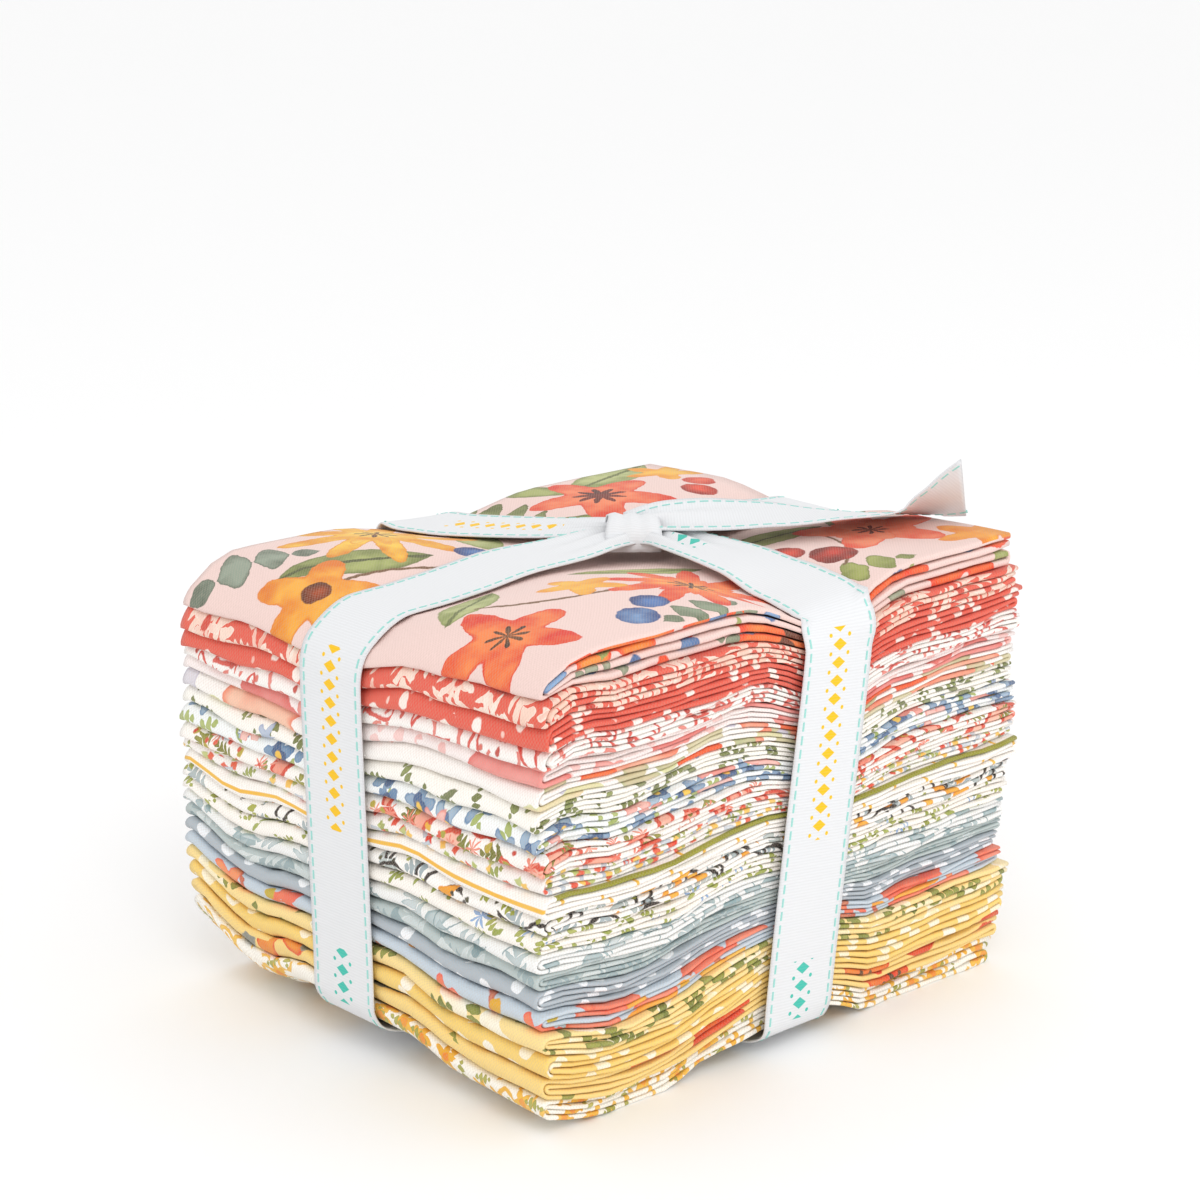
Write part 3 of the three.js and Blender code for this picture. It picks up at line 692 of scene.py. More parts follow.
# %% Dashes at even steps
def stitch_tree(thread):
    """Geometry Nodes that set a dash at even steps along the lines."""
    tree = bpy.data.node_groups.new("ribbon_stitches", "GeometryNodeTree")
    sockets = tree.interface
    sockets.new_socket("Geometry", in_out="INPUT", socket_type="NodeSocketGeometry")
    for name, value in STITCH_SIZES.items():
        socket = sockets.new_socket(name, in_out="INPUT", socket_type="NodeSocketFloat")
        socket.default_value = value * MM
    sockets.new_socket("Geometry", in_out="OUTPUT", socket_type="NodeSocketGeometry")

    def node(kind, **settings):
        made = tree.nodes.new(kind)
        for key, value in settings.items():
            setattr(made, key, value)
        return made

    entry = node("NodeGroupInput")
    curve = node("GeometryNodeMeshToCurve")
    points = node("GeometryNodeCurveToPoints", mode="LENGTH")
    outward = node("GeometryNodeInputNamedAttribute", data_type="FLOAT_VECTOR")
    outward.inputs["Name"].default_value = "outward"
    along = node("FunctionNodeAlignRotationToVector", axis="X")
    upright = node("FunctionNodeAlignRotationToVector", axis="Z", pivot_axis="X")
    size = node("ShaderNodeCombineXYZ")
    dash = node("GeometryNodeMeshCube")
    copies = node("GeometryNodeInstanceOnPoints")
    realize = node("GeometryNodeRealizeInstances")
    finish = node("GeometryNodeSetMaterial")
    finish.inputs["Material"].default_value = thread
    leave = node("NodeGroupOutput")
    for source, output, target, entrance in (
        (entry, "Geometry", curve, "Mesh"),
        (curve, "Curve", points, "Curve"),
        (entry, "Stitch pitch", points, "Length"),
        (points, "Tangent", along, "Vector"),
        (along, "Rotation", upright, "Rotation"),
        (outward, "Attribute", upright, "Vector"),
        (entry, "Stitch length", size, "X"),
        (entry, "Thread width", size, "Y"),
        (entry, "Thread height", size, "Z"),
        (size, "Vector", dash, "Size"),
        (points, "Points", copies, "Points"),
        (dash, "Mesh", copies, "Instance"),
        (upright, "Rotation", copies, "Rotation"),
        (copies, "Instances", realize, "Geometry"),
        (realize, "Geometry", finish, "Geometry"),
        (finish, "Geometry", leave, "Geometry"),
    ):
        tree.links.new(source.outputs[output], target.inputs[entrance])
    return tree


def made_plain(maker, name):
    """The result of an object's modifiers as an object of its own, with no modifier left."""
    bpy.context.view_layer.update()
    evaluated = maker.evaluated_get(bpy.context.evaluated_depsgraph_get())
    piece = put_in_scene(name, bpy.data.meshes.new_from_object(evaluated))
    bpy.data.objects.remove(maker)
    return piece


stitch_maker = stitch_lines()
stitching = stitch_maker.modifiers.new("stitches", "NODES")
stitching.node_group = stitch_tree(plain_material("mint_thread", linear("#9ed8cf"), 0.6))
stitches = made_plain(stitch_maker, "ribbon_stitches")
print("stitches:", len(stitches.data.polygons) // 6)

# %% [markdown]
# ## Prints
# Each fabric is a print on cotton. A print is built from the cloth's flat place in millimetres, so it has
# its real scale and breaks up where the cloth folds, which is what makes the narrow noses on the front look
# like slices of flowers. Most motifs are scattered: a Voronoi texture gives every cell a middle and a few
# random numbers, and a short formula draws a leaf, a petal or a dot round that middle.

# %% Formulas in a material
def feed(tree, socket, value):
    """Gives a socket a value of its own, or links it to what makes one."""
    if isinstance(value, Field):
        value = value.socket
    if isinstance(value, bpy.types.NodeSocket):
        tree.links.new(value, socket)
    else:
        socket.default_value = value


class Field:
    """A number that changes over a surface, so that a pattern can be written as a formula."""

    def __init__(self, tree, socket):
        self.tree = tree
        self.socket = socket

    def apply(self, operation, *others, clamp=False):
        node = self.tree.nodes.new("ShaderNodeMath")
        node.operation = operation
        node.use_clamp = clamp
        for socket, value in zip(node.inputs, (self, *others)):
            feed(self.tree, socket, value)
        return Field(self.tree, node.outputs[0])

    def __add__(self, other):
        return self.apply("ADD", other)

    def __sub__(self, other):
        return self.apply("SUBTRACT", other)

    def __mul__(self, other):
        return self.apply("MULTIPLY", other)

    def __abs__(self):
        return self.apply("ABSOLUTE")

    def less_than(self, other):
        return self.apply("LESS_THAN", other)

    def least(self, other):
        return self.apply("MINIMUM", other)

    def edge(self, softness):
        """From 0 outside a shape to 1 inside it."""
        return self.apply("MULTIPLY_ADD", 1 / softness, 0.5, clamp=True)


# %% [markdown]
# A motif is a formula that is above 0 inside its outline, like a hole in a stencil. Drawn this way, a leaf
# or a petal stays sharp at any size, and its middle and rim can take colours of their own.

# %% Motif shapes
# Each takes a place measured in motif sizes and is above 0 inside the shape
def from_middle(x, y):
    return (x * x + y * y).apply("SQRT")


def petals(count, depth):
    def shape(x, y):
        wave = (y.apply("ARCTAN2", x) * count).apply("COSINE") * depth
        return wave - from_middle(x, y) + (1 - depth)
    return shape


def leaf(x, y):
    return x * x * -0.36 - abs(y) + 0.36


def vein(x, y):
    return (abs(y) * -1 + 0.035).least(leaf(x, y))


def stem(x, y):
    return (abs(y - x * x * 0.3 + 0.1) * -1 + 0.03).least(abs(x) * -1 + 1)


def sprig(x, y):
    return (x * x * -0.5 + 0.5) * abs((x * 6).apply("SINE")) - abs(y) - 0.02


def fern(x, y):
    slanted = x - abs(y) * 0.8
    return (x * x * -0.62 + 0.62) * abs((slanted * 7).apply("SINE")) - abs(y) - 0.02


def drop(x, y):
    share = x * 0.5 + 0.5
    bent = y - x * x * 0.25 + 0.1
    return share.apply("SQRT") * (share * -1.15 + 1.15) - abs(bent) - 0.04


def drop_rim(x, y):
    return abs(drop(x, y) - 0.12) * -1 + 0.07


def arc(x, y):
    return (abs(from_middle(x, y) - 0.78) * -1 + 0.16).least(y + 0.15)


def bar(x, y):
    return (abs(x) * -1 + 1).least(abs(y) * -1 + 0.3)


def block(x, y):
    return (abs(x) * -1 + 1).least(abs(y) * -1 + 1)


def dot(x, y):
    return from_middle(x, y) * -1 + 1


SHAPES = {
    "leaf": leaf, "vein": vein, "stem": stem, "sprig": sprig, "fern": fern,
    "drop": drop, "drop_rim": drop_rim, "arc": arc, "bar": bar, "block": block, "dot": dot,
    "blossom": petals(5, 0.26), "daisy": petals(9, 0.3), "burst": petals(8, 0.46), "blob": petals(3, 0.2),
}
print("motifs:", len(SHAPES))

# %% [markdown]
# A printer lays one colour after another on plain cloth, and so does this class. Each layer needs a mask
# and two colours, and the last thing that it gets is the weave, which also raises the surface a little.

# %% A print, laid in layers
THREAD_TURNS = 2 * math.pi / 0.8
WEAVE_SHADE = "#c9b6a8"
SEED_SHIFT = (7.31, 3.77)
FRONT_FOLD_REACH = 2.5


class Print:
    """The material of one fabric. Layers are laid over its ground by their place on the flat cloth."""

    def __init__(self, name, ground, roughness=0.82, sheen=0.15):
        self.material = plain_material(name, linear(ground), roughness)
        self.tree = self.material.node_tree
        self.shader = self.tree.nodes["Principled BSDF"]
        self.shader.inputs["Specular IOR Level"].default_value = 0.25
        self.shader.inputs["Sheen Weight"].default_value = sheen
        self.flat = self.node("ShaderNodeUVMap", {}, uv_map=FLAT_MAP).outputs["UV"]
        self.wash = self.noise(0.14, 3)
        self.grain = self.noise(2.2, 2)
        wobble = self.noise(0.45, 2, colour=True)
        self.place = self.vector("ADD", self.flat, self.vector("SCALE", wobble, 1.0))
        self.colour = linear(ground)

    def node(self, kind, inputs, **settings):
        """A new node with its settings, and its inputs by name or number."""
        node = self.tree.nodes.new(kind)
        for name, value in settings.items():
            setattr(node, name, value)
        for key, value in inputs.items():
            feed(self.tree, node.inputs[key], value)
        return node

    def vector(self, operation, first, second):
        second_input = "Scale" if operation == "SCALE" else 1
        inputs = {0: first, second_input: second}
        return self.node("ShaderNodeVectorMath", inputs, operation=operation).outputs[0]

    def noise(self, scale, detail, colour=False):
        inputs = {"Vector": self.flat, "Scale": scale, "Detail": detail}
        outputs = self.node("ShaderNodeTexNoise", inputs, noise_dimensions="2D").outputs
        return outputs["Color"] if colour else Field(self.tree, outputs[0])

    def mixed(self, first, second, share):
        return self.node("ShaderNodeMix", {0: share, 6: first, 7: second}, data_type="RGBA").outputs[2]

    def split(self, vector):
        outputs = self.node("ShaderNodeSeparateXYZ", {0: vector}).outputs
        return [Field(self.tree, output) for output in outputs]

    def turned(self, vector, angle):
        inputs = {"Vector": vector, "Angle": angle}
        return self.node("ShaderNodeVectorRotate", inputs, rotation_type="Z_AXIS").outputs[0]

    def lay(self, mask, first, second, tone):
        """Paints over what is there, in a wash between two colours."""
        self.colour = self.mixed(self.colour, self.mixed(linear(first), linear(second), tone), mask)

    def scatter(self, shape, cell, size, share, seed, first, second, where="all over"):
        """One motif in that share of the cells, turned at random, all over or on the front folds only."""
        shift = (*[seed * step for step in SEED_SHIFT], 0)
        scaled = self.vector("ADD", self.vector("SCALE", self.place, 1 / cell), shift)
        inputs = {"Vector": scaled, "Scale": 1, "Randomness": 0.75}
        cells = self.node("ShaderNodeTexVoronoi", inputs, voronoi_dimensions="2D").outputs
        own = self.vector("SCALE", self.vector("SUBTRACT", scaled, cells["Position"]), cell / size)
        turn, pick, tone = self.split(cells["Color"])
        x, y, _ = self.split(self.turned(own, turn * (2 * math.pi)))
        value = SHAPES[shape](x, y)
        tone = (tone * 0.8 + self.wash * 1.4).apply("SUBTRACT", 0.45, clamp=True)
        inside = value.apply("MULTIPLY", 7, clamp=True)
        mask = value.edge(0.25 / size) * pick.less_than(share)
        if where == "front":
            mask = mask * abs(self.split(self.flat)[1] - FOLDED_WIDTH).less_than(FRONT_FOLD_REACH)
        self.lay(mask, first, second, tone * inside)

    def motif(self, shape, middle, size, turn, first, second):
        """One motif at its own place, with its colour running from the first at its middle to the second."""
        own = self.vector("SCALE", self.vector("SUBTRACT", self.place, (*middle, 0)), 1 / size)
        x, y, _ = self.split(self.turned(own, math.radians(turn)))
        value = SHAPES[shape](x, y)
        tone = (from_middle(x, y) * 0.9 + self.wash * 2.2).apply("SUBTRACT", 1.15, clamp=True)
        rim = value.apply("MULTIPLY_ADD", -9, 1, clamp=True)
        self.lay(value.edge(0.3 / size), first, second, tone.apply("MAXIMUM", rim))

    def raised(self, height, strength, distance):
        """The finished material: the colour laid so far, on a surface raised by a height."""
        inputs = {"Height": height, "Strength": strength, "Distance": distance * MM}
        bump = self.node("ShaderNodeBump", inputs)
        feed(self.tree, self.shader.inputs["Base Color"], self.colour)
        feed(self.tree, self.shader.inputs["Normal"], bump.outputs["Normal"])
        return self.material

    def woven(self):
        """Gives the cotton its weave, in the colour and in the surface."""
        u, v, _ = self.split(self.flat)
        threads = (u * THREAD_TURNS).apply("SINE") * (v * THREAD_TURNS).apply("SINE") * 0.5 + self.grain
        shade = (threads * -0.3).apply("ADD", 0.3, clamp=True)
        self.lay(shade, WEAVE_SHADE, WEAVE_SHADE, self.wash)
        return self.raised(threads, 0.35, 0.12)


# %% [markdown]
# Each row below is one fabric, and the large florals have a layer for the front folds alone, where a slice
# of a flower shows as a bar of colour. Small cells give a dense print, and a share below 1 leaves gaps.

# %% Table of the prints
CORAL = "#e5614f"
WHITE = "#fbf8f4"
# print: ground, then layers of shape, cell, size, share of the cells, seed, two colours
PRINTS = {
    "pink": ("#efd4ce", [
        ("blossom", 44, 17, 0.8, 1, "#ee4a2c", "#f2953f"), ("dot", 44, 4, 0.8, 1, "#5b3a22", "#8a2418"),
        ("leaf", 22, 9, 0.55, 2, "#93a056", "#b9bf8a"), ("dot", 15, 2.6, 0.4, 3, "#3d659a", "#89acd2"),
        ("sprig", 27, 8, 0.5, 4, "#7d8a72", "#a8b19a"), ("dot", 19, 1.6, 0.5, 5, "#b3261e", "#e2583f"),
    ]),
    "coral_leaf": (CORAL, [
        ("fern", 8.5, 6, 0.95, 1, "#fbe9dc", "#f6cdbb"), ("burst", 13, 5, 0.8, 2, "#fbeee2", "#f3b8a6"),
        ("dot", 13, 1.1, 0.8, 2, CORAL, "#c7392f"),
    ]),
    "coral_dot": (CORAL, [
        ("dot", 7, 1.3, 0.95, 1, "#fff8f2", "#fbeae0"), ("dot", 5.5, 0.5, 0.5, 2, "#fbe3d8", "#f3b0a2"),
    ]),
    "white_scroll": (WHITE, [
        ("drop_rim", 10, 5.2, 0.95, 1, "#d9483e", "#ee948a"), ("arc", 6, 2.6, 0.9, 2, "#e0655a", "#f0a59b"),
        ("burst", 10, 2.2, 0.6, 3, "#dd5247", "#e8786c"), ("dot", 4.2, 0.65, 0.6, 4, "#b5352c", "#ea8377"),
    ]),
    "blush": ("#fbf1ef", [
        ("dot", 7.5, 1.3, 0.75, 1, "#f6c3bf", "#f9d8d4"), ("blob", 40, 17, 0.5, 2, "#e2746f", "#f0a09a"),
        ("blob", 25, 5, 0.3, 3, "#eb8d86", "#f6c4be"),
    ]),
    "white_bloom": (WHITE, [
        ("blossom", 42, 16, 0.75, 1, "#f0876a", "#f7c9b0"), ("blob", 26, 8, 0.4, 2, "#dde0ae", "#ead9b4"),
        ("leaf", 24, 8, 0.4, 3, "#b9bf92", "#d8caa8"), ("blob", 18, 5, 0.4, 4, "#c9c6d6", "#e0dde4"),
        ("dot", 19, 6, 0.6, 9, "#ee5a2c", "#f2773f", "front"),
        ("dot", 17, 5, 0.5, 6, "#cfc7a0", "#ded8b8", "front"),
    ]),
    "cream_sprig": ("#fdfbf4", [
        ("sprig", 7, 3.2, 0.9, 1, "#6c7840", "#94a066"), ("blossom", 14, 3.4, 0.8, 2, "#94aacb", "#c3cfe0"),
        ("leaf", 9, 2.4, 0.6, 3, "#66724a", "#9da67c"),
    ]),
    "blue_flower": ("#f6fafa", [
        ("sprig", 8, 3.6, 0.8, 3, "#9fb25c", "#c0cb8e"), ("leaf", 9, 2.8, 0.6, 4, "#8ba24f", "#b3c279"),
        ("blossom", 12, 4.8, 0.9, 1, "#5d86ad", "#a8c0d4"), ("blob", 12, 2.6, 0.7, 1, "#345680", "#5d7fa6"),
        ("dot", 12, 1.0, 0.9, 1, "#f3bf3c", "#f6d36a"), ("blossom", 23, 5, 0.6, 7, "#e98a80", "#f8ccc4"),
    ]),
    "medallion": ("#fefaf5", [
        ("drop", 12, 5.6, 0.95, 1, "#f28d74", "#f9c4b0"),
        ("drop_rim", 12, 6.6, 0.95, 1, "#d8452f", "#e8745c"),
        ("fern", 8, 3.4, 0.7, 2, "#74782e", "#a3a24c"), ("burst", 6.5, 2.1, 0.7, 3, "#ee7a66", "#f2a08c"),
        ("dot", 4.5, 0.8, 0.5, 4, "#f0b63c", "#9fa845"), ("dot", 3.5, 0.5, 0.5, 5, "#c93a2a", "#e86a50"),
    ]),
    "small_floral": (WHITE, [
        ("block", 3.8, 0.8, 0.4, 1, "#e23d2b", "#ea6a4c"), ("block", 4.2, 0.8, 0.5, 2, "#aebd5e", "#c8cf8c"),
        ("bar", 5, 1.5, 0.5, 3, "#a9bacb", "#d4dce2"), ("block", 5, 0.8, 0.4, 4, "#f5bc3e", "#f7cf72"),
        ("sprig", 6.5, 2.4, 0.6, 5, "#8f9c48", "#b3bb74"),
    ]),
    "line_stripe": ("#fefbf6", []),
    "dark_paisley": ("#fefcf8", [
        ("fern", 9, 4, 0.7, 2, "#9db0b8", "#c3ccc8"), ("drop_rim", 12, 5.8, 0.9, 1, "#16181a", "#34373a"),
        ("drop", 9, 3.2, 0.6, 3, "#ef9a17", "#f7bd45"), ("sprig", 6.5, 2.9, 0.7, 4, "#98a030", "#b9bd5e"),
        ("dot", 4, 0.55, 0.6, 5, "#202224", "#5a5f40"),
    ]),
    "green_sprig": ("#fefaf3", [
        ("sprig", 5.5, 2.5, 0.9, 1, "#8d9834", "#b3ba66"), ("leaf", 5.5, 1.6, 0.7, 2, "#8a9a3c", "#adb863"),
        ("burst", 12, 2.8, 0.7, 3, "#7fa6d6", "#b4cbe6"),
    ]),
    "grey_foliage": ("#f2f4f3", [
        ("leaf", 13, 6, 0.8, 1, "#8ba9ae", "#ccd8da"), ("fern", 11, 5.5, 0.8, 2, "#9db5b9", "#d6dfe0"),
        ("stem", 9, 5, 0.7, 3, "#7f9ca2", "#7f9ca2"),
    ]),
    "sage_mottle": ("#bccaca", [
        ("fern", 9, 5.5, 0.8, 1, "#93abb0", "#aebfc2"), ("fern", 11, 6, 0.6, 2, "#dde5e4", "#c8d4d5"),
        ("blob", 8, 2.6, 0.4, 3, "#7f9ca2", "#9fb4b8"),
    ]),
    "blue_dot": ("#b3bec6", [("dot", 8.5, 1.7, 0.95, 1, "#fafbfd", "#eef2f6")]),
    "light_blue_floral": ("#c8d5df", [
        ("arc", 16, 4.6, 0.4, 4, "#c4604a", "#d98a6a"), ("leaf", 14, 4.2, 0.6, 2, "#7f8634", "#b0a848"),
        ("blossom", 24, 5.5, 0.8, 1, "#ee6253", "#f59a6a"), ("dot", 15, 1.7, 0.5, 3, "#e8ad2c", "#c9b23c"),
        ("blossom", 30, 11, 0.6, 6, "#f0a12c", "#f6c35a"),
        ("dot", 24, 7, 0.6, 7, "#ec6448", "#f4937a", "front"),
    ]),
    "yellow_leaf": ("#fbe09a", [
        ("blob", 13, 6.2, 0.55, 2, "#fdf8e6", "#fbeab8"), ("sprig", 10, 4.8, 0.75, 1, "#6f7c34", "#a2a64c"),
        ("leaf", 13, 3.4, 0.5, 3, "#78853c", "#a9ab58"),
    ]),
    "yellow_dot": ("#f8d67c", [("dot", 8.5, 1.8, 0.95, 1, "#fefbf2", "#fdf2d2")]),
    "yellow_bloom": ("#f9da8c", [
        ("leaf", 27, 9, 0.5, 2, "#8d9646", "#b7a94e"), ("blossom", 40, 13, 0.75, 1, "#e63f22", "#f09a38"),
        ("daisy", 40, 5, 0.75, 1, "#54412a", "#8a5a2a"), ("bar", 22, 5, 0.4, 3, "#9a9c92", "#5f6a60"),
        ("dot", 26, 9, 0.65, 7, "#dc4322", "#ee7446", "front"),
    ]),
    "yellow_floral": ("#fdfaf1", [
        ("blossom", 7.5, 3, 0.8, 1, "#edb024", "#f6c650"), ("arc", 6.5, 2.8, 0.6, 2, "#efb73a", "#f5cf6e"),
        ("sprig", 6.5, 2.6, 0.7, 3, "#979a3c", "#c2bf6c"), ("dot", 7.5, 0.9, 0.8, 1, "#ee8a24", "#f2a848"),
    ]),
}
# %% [markdown]
# The flowers on top show whole, so they are placed one by one. A material with all of them would be heavy to
# work out, and the ribbons part the top into quarters anyway, so each quarter has a material of its own.
# The striped piece also has its own layout, because its lines have to follow the folds.

# %% Two prints with a layout of their own
# shape, x and y on the folded top, size, turn, colour in the middle, colour at the rim, a leaf's vein
TOP_FLOWERS = {
    "near": [
        ("leaf", 64, 41, 15, 30, "#b3bb72", "#6f7f38", "#56632e"),
        ("leaf", 20, 44, 15, 150, "#bcc486", "#7f8e48", "#66743a"),
        ("sprig", 46, 3, 12, 175, "#8b9b82", "#5d6b54"), ("stem", 34, 28, 20, 200, "#7a5a3c", "#7a5a3c"),
        ("daisy", 60, 20, 20, 12, "#f4813f", "#dd2a14"), ("daisy", 60, 20, 11, 30, "#f7a550", "#e84a26"),
        ("burst", 60, 20, 5, 0, "#5f3818", "#241810"),
        ("blossom", 9, 20, 16, 30, "#f58a4a", "#df2f18"), ("burst", 9, 20, 4.5, 0, "#7a4a22", "#2f2014"),
        ("dot", 33, 8, 4.6, 0, "#7fa5d0", "#254a86"), ("dot", 41, 13, 4.2, 0, "#4f7cb8", "#213f78"),
        ("blossom", 41, 33, 10, 20, "#f6bf45", "#e88f14"),
    ],
    "left": [
        ("leaf", 24, 86, 18, 20, "#a8b26c", "#66743a", "#4f5c2e"),
        ("leaf", 60, 88, 14, 110, "#b5bc80", "#7d8c44"), ("sprig", 11, 104, 15, 30, "#96a494", "#5d6b5c"),
        ("stem", 30, 76, 18, 20, "#7a5a3c", "#7a5a3c"),
        ("daisy", 42, 101, 23, 55, "#f9cb48", "#e08a0e"), ("daisy", 42, 101, 12, 15, "#f7d467", "#e8961e"),
        ("burst", 42, 101, 4.8, 0, "#8a5a2a", "#3f2614"),
        ("blossom", 9, 80, 15, 0, "#f6b23e", "#e27b12"), ("dot", 9, 80, 3.2, 0, "#b04a14", "#5f2a12"),
        ("dot", 50, 78, 3.8, 0, "#4f7cb8", "#213f78"), ("dot", 57, 75, 3.4, 0, "#7fa5d0", "#254a86"),
    ],
    "back": [
        ("leaf", 92, 78, 19, 40, "#98a458", "#5b692c", "#465224"),
        ("leaf", 120, 108, 19, 160, "#bcc486", "#7f8e48", "#66743a"),
        ("fern", 78, 102, 20, 100, "#8f9a62", "#54602c"), ("leaf", 98, 110, 13, 60, "#a8b26c", "#66743a"),
        ("blossom", 104, 94, 18, 20, "#f48a60", "#dd3418"), ("daisy", 104, 94, 6.5, 0, "#7a2014", "#4a1610"),
        ("dot", 126, 84, 4.2, 0, "#ea5238", "#9c1c14"), ("dot", 132, 90, 3.8, 0, "#ea6a50", "#b8241a"),
        ("blossom", 133, 103, 10, 10, "#f6bf45", "#e88f14"),
    ],
    "right": [
        ("leaf", 104, 40, 15, 10, "#a8b26c", "#6f7f38", "#4f5c2e"),
        ("leaf", 131, 42, 13, 150, "#8f9a58", "#54602c"), ("sprig", 100, 6, 12, 20, "#a3ac60", "#6f7a3a"),
        ("stem", 108, 22, 14, 120, "#7a5a3c", "#7a5a3c"),
        ("blossom", 123, 26, 18, 40, "#f8946e", "#e64a2a"),
        ("blossom", 123, 26, 10, 5, "#faae88", "#ee6f48"),
        ("burst", 123, 26, 4, 0, "#8a3218", "#4a1610"),
        ("dot", 102, 18, 5.4, 0, "#c93222", "#7a1410"), ("dot", 96, 27, 4.2, 0, "#dd4a36", "#8f1a16"),
        ("blossom", 135, 5, 11, 10, "#f6ac38", "#e68212"),
    ],
}


# %% Where the flowers and the lines lie
def lay_top_flowers(pink, quarter):
    """The cloth's top lies from its corner: x falls as the flat length grows, and y as the width grows."""
    for shape, x, y, size, turn, middle, rim, *vein_colour in TOP_FLOWERS[quarter]:
        place = (FOLDED_LENGTH - x, FOLDED_WIDTH - y)
        pink.motif(shape, place, size, turn, middle, rim)
        if vein_colour:
            pink.motif("vein", place, size, turn, *vein_colour, *vein_colour)


# The placed flowers end here, round the edge of the top, and the scattered print starts
TOP_FROM = {"x": -1.5, "y": -0.2}
ALONG_RIBBON_Y = 61
# The ribbon across the top runs from x at the knot to x at the back edge
ACROSS_RIBBON = {"knot x": 83, "back x": 62, "knot y": 60, "length": 54}


def quarter_of_top(u, v):
    """Which of the pink piece's materials a place on its flat cloth takes: 0 is the scattered print."""
    x, y = FOLDED_LENGTH - u, FOLDED_WIDTH - v
    beyond = (x < TOP_FROM["x"]) | (y < TOP_FROM["y"])
    share = np.clip((y - ACROSS_RIBBON["knot y"]) / ACROSS_RIBBON["length"], 0, 1)
    over_ribbon = x > blend_between(ACROSS_RIBBON["knot x"], ACROSS_RIBBON["back x"], share)
    return np.where(beyond, 0, 1 + (y > ALONG_RIBBON_Y) + 2 * over_ribbon)


LINE_PITCH = 9.5
FIRST_LINE = FOLDED_LENGTH + 0.1
STRIPE_HALF_WIDTH = 0.9
STRIPE_UP_TO = FOLDED_LENGTH - 4


def lay_lines(stripe):
    """Fine yellow lines along the fold side, and one broad olive stripe that lies on the front."""
    u, v, _ = stripe.split(stripe.flat)
    line = abs((u - FIRST_LINE).apply("WRAP", LINE_PITCH, -LINE_PITCH)) * -1 + 0.4
    stripe.lay(line.edge(0.2), "#f3b52c", "#f4c95a", stripe.wash)
    on_front = (abs(v - FOLDED_WIDTH) * -1 + STRIPE_HALF_WIDTH).edge(0.3)
    stripe.lay(on_front * u.less_than(STRIPE_UP_TO), "#86891a", "#a3a336", stripe.wash)


# %% The finished fabrics
def fabric(name):
    ground, layers = PRINTS[name]
    cotton = Print(f"cotton_{name}", ground)
    for layer in layers:
        cotton.scatter(*layer)
    if name == "line_stripe":
        lay_lines(cotton)
    return cotton.woven()


for cloth, row in zip(fat_quarters, PIECES):
    cloth.data.materials.append(fabric(row[0]))

top_piece = fat_quarters[0].data
for quarter in ("near", "left", "right", "back"):
    cotton = Print(f"cotton_pink_{quarter}", PRINTS["pink"][0])
    lay_top_flowers(cotton, quarter)
    top_piece.materials.append(cotton.woven())
corner_places = np.empty(len(top_piece.loops) * 2, np.float32)
top_piece.uv_layers[FLAT_MAP].data.foreach_get("uv", corner_places)
face_places = corner_places.reshape(-1, 4, 2).mean(axis=1)
top_piece.polygons.foreach_set("material_index", quarter_of_top(*face_places.T).astype(np.int32))
print("prints:", len(PRINTS))

# %% [markdown]
# ## The ribbon's finish
# The ribbon is white and finely ribbed across. Two faces and one arm carry a row of small yellow shapes,
# and its ends a few teal ones. The marks are placed between two points of the ribbon's own way.

# %% Ribbon material
# band, from, to, colour
RIBBON_MARKS = [
    ("along", (-1.4, 63, 90), (-1.3, 62, 50), "#f5c518"),
    ("across", (81.7, -1, 91), (76.5, -1.7, 46), "#f5c518"),
    ("across", (65, 103, 96), (76, 76, 97), "#f5c518"),
    ("along", (-1.3, 61, 24), (-1.3, 61, 12), "#4cc3b2"),
    ("across", (72.8, -1.7, 20), (71.4, -1.7, 7), "#4cc3b2"),
    ("across", (83.5, 50, 99), (83.5, 40, 97), "#4cc3b2"),
]
MARK_PITCH = 3.9
RIB_PITCH = 0.65
RIB_SHADE = "#b9b8b6"


def place_along(name, point):
    """How far along a band of the ribbon the nearest station to a point lies."""
    points, flat, _ = bands[name]
    middle = points[:, BAND_COLUMNS // 2]
    return float(flat[np.argmin(np.linalg.norm(middle - point, axis=1)), 0, 0])


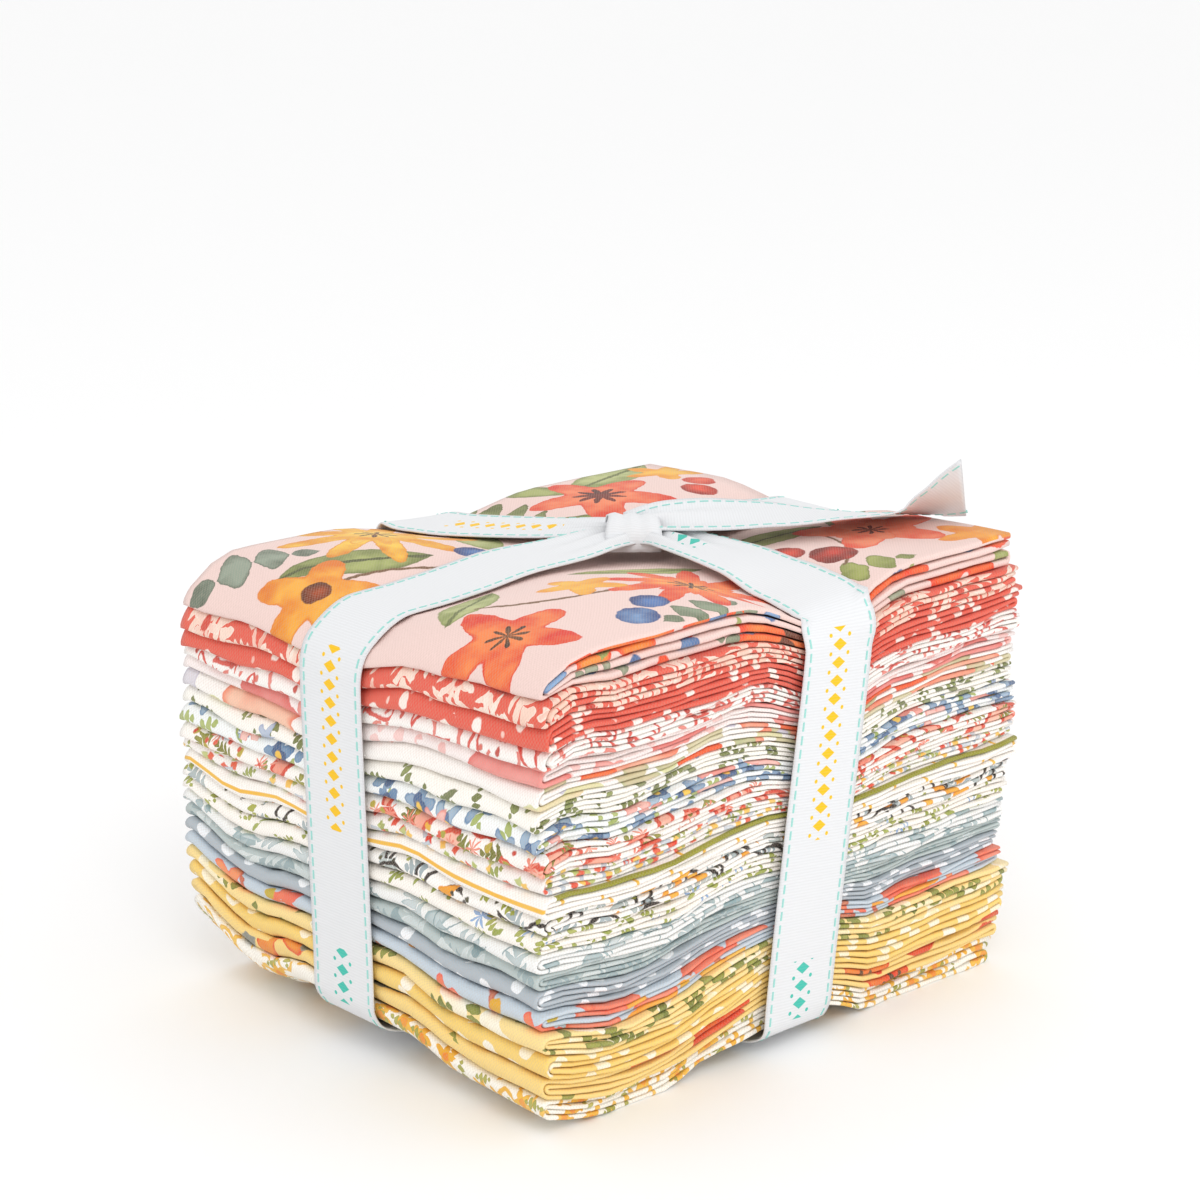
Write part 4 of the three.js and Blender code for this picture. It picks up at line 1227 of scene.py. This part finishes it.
def ribbon_material():
    ribbed = Print("ribbon_cotton", "#e4e5e7", roughness=0.55, sheen=0.05)
    along, across, _ = ribbed.split(ribbed.flat)
    for name, start, end, colour in RIBBON_MARKS:
        shift = list(bands).index(name) * STRIP_SHIFT
        first, last = sorted((place_along(name, start), place_along(name, end)))
        inside = (along - (shift + first)).least(along * -1 + shift + last)
        step = along.apply("WRAP", MARK_PITCH, -MARK_PITCH)
        diamond = (abs(abs(step) - MARK_PITCH / 2) * 0.75 + abs(across) * 0.5) * -1 + 1.0
        half_step = step.apply("WRAP", MARK_PITCH / 2, -MARK_PITCH / 2)
        bead = from_middle(half_step, abs(across) - 2.6) * -1 + 0.45
        marks = diamond.apply("MAXIMUM", bead)
        ribbed.lay(marks.edge(0.12) * inside.edge(0.1), colour, colour, ribbed.wash)
    ribs = (along * (2 * math.pi / RIB_PITCH)).apply("SINE")
    ribbed.lay((ribs * 0.07).apply("ADD", 0.04, clamp=True), RIB_SHADE, RIB_SHADE, ribbed.wash)
    return ribbed.raised(ribs, 0.2, 0.06)


ribbon.data.materials.append(ribbon_material())

# %% [markdown]
# ## Floor, light and background
# The object was photographed on white with hardly a shadow. A bright sky all round gives the soft light,
# one large lamp at the camera's left gives the folds their shape, and a weak one lifts the shade at the
# right. More contrast in the view brings the prints' colours up to those of the photograph.

# %% Floor, light and background
lowest = min(0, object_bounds()[0][2])
bpy.ops.mesh.primitive_plane_add(size=8, location=(0, 0, lowest))
floor = bpy.context.object
floor.name = "floor"
floor.data.materials.append(plain_material("floor", (0.95, 0.95, 0.95, 1), 0.7))

world = bpy.data.worlds.new("studio")
world.use_nodes = True
world.node_tree.nodes["Background"].inputs["Color"].default_value = (1, 1, 1, 1)
world.node_tree.nodes["Background"].inputs["Strength"].default_value = 1.0
bpy.context.scene.world = world


# %% Lamps and view
def soft_light(name, place, aim, size, power):
    data = bpy.data.lights.new(name, "AREA")
    data.size = size
    data.energy = power
    light = put_in_scene(name, data)
    light.location = place
    direction = np.array(aim) - np.array(place)
    light.rotation_euler = Vector(direction).to_track_quat("-Z", "Y").to_euler()


soft_light("key", (-0.5, -0.7, 0.9), (0, 0, 0.05), 0.5, 2.4)
soft_light("fill", (0.5, -0.8, 0.22), (0, 0, 0.05), 0.7, 1.2)
bpy.context.scene.view_settings.view_transform = "Standard"
bpy.context.scene.view_settings.look = "Medium High Contrast"
bpy.context.scene.view_settings.exposure = -0.25

# %% [markdown]
# ## Hanging the pieces on the model's root
# Last, every piece is hung on the root body, and the solid of the model that it dresses is hidden. The
# stitches hang on the root as well.

# %% Hanging the pieces
for number, (cloth, row) in enumerate(zip(fat_quarters, PIECES), start=1):
    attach(cloth, "root")
    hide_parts(f"fat_quarter_{number:02d}")
    below = [f"fat_quarter_{number + 1:02d}"] if number < len(PIECES) else []
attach(ribbon, "root")
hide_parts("ribbon")
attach(stitches, "root")
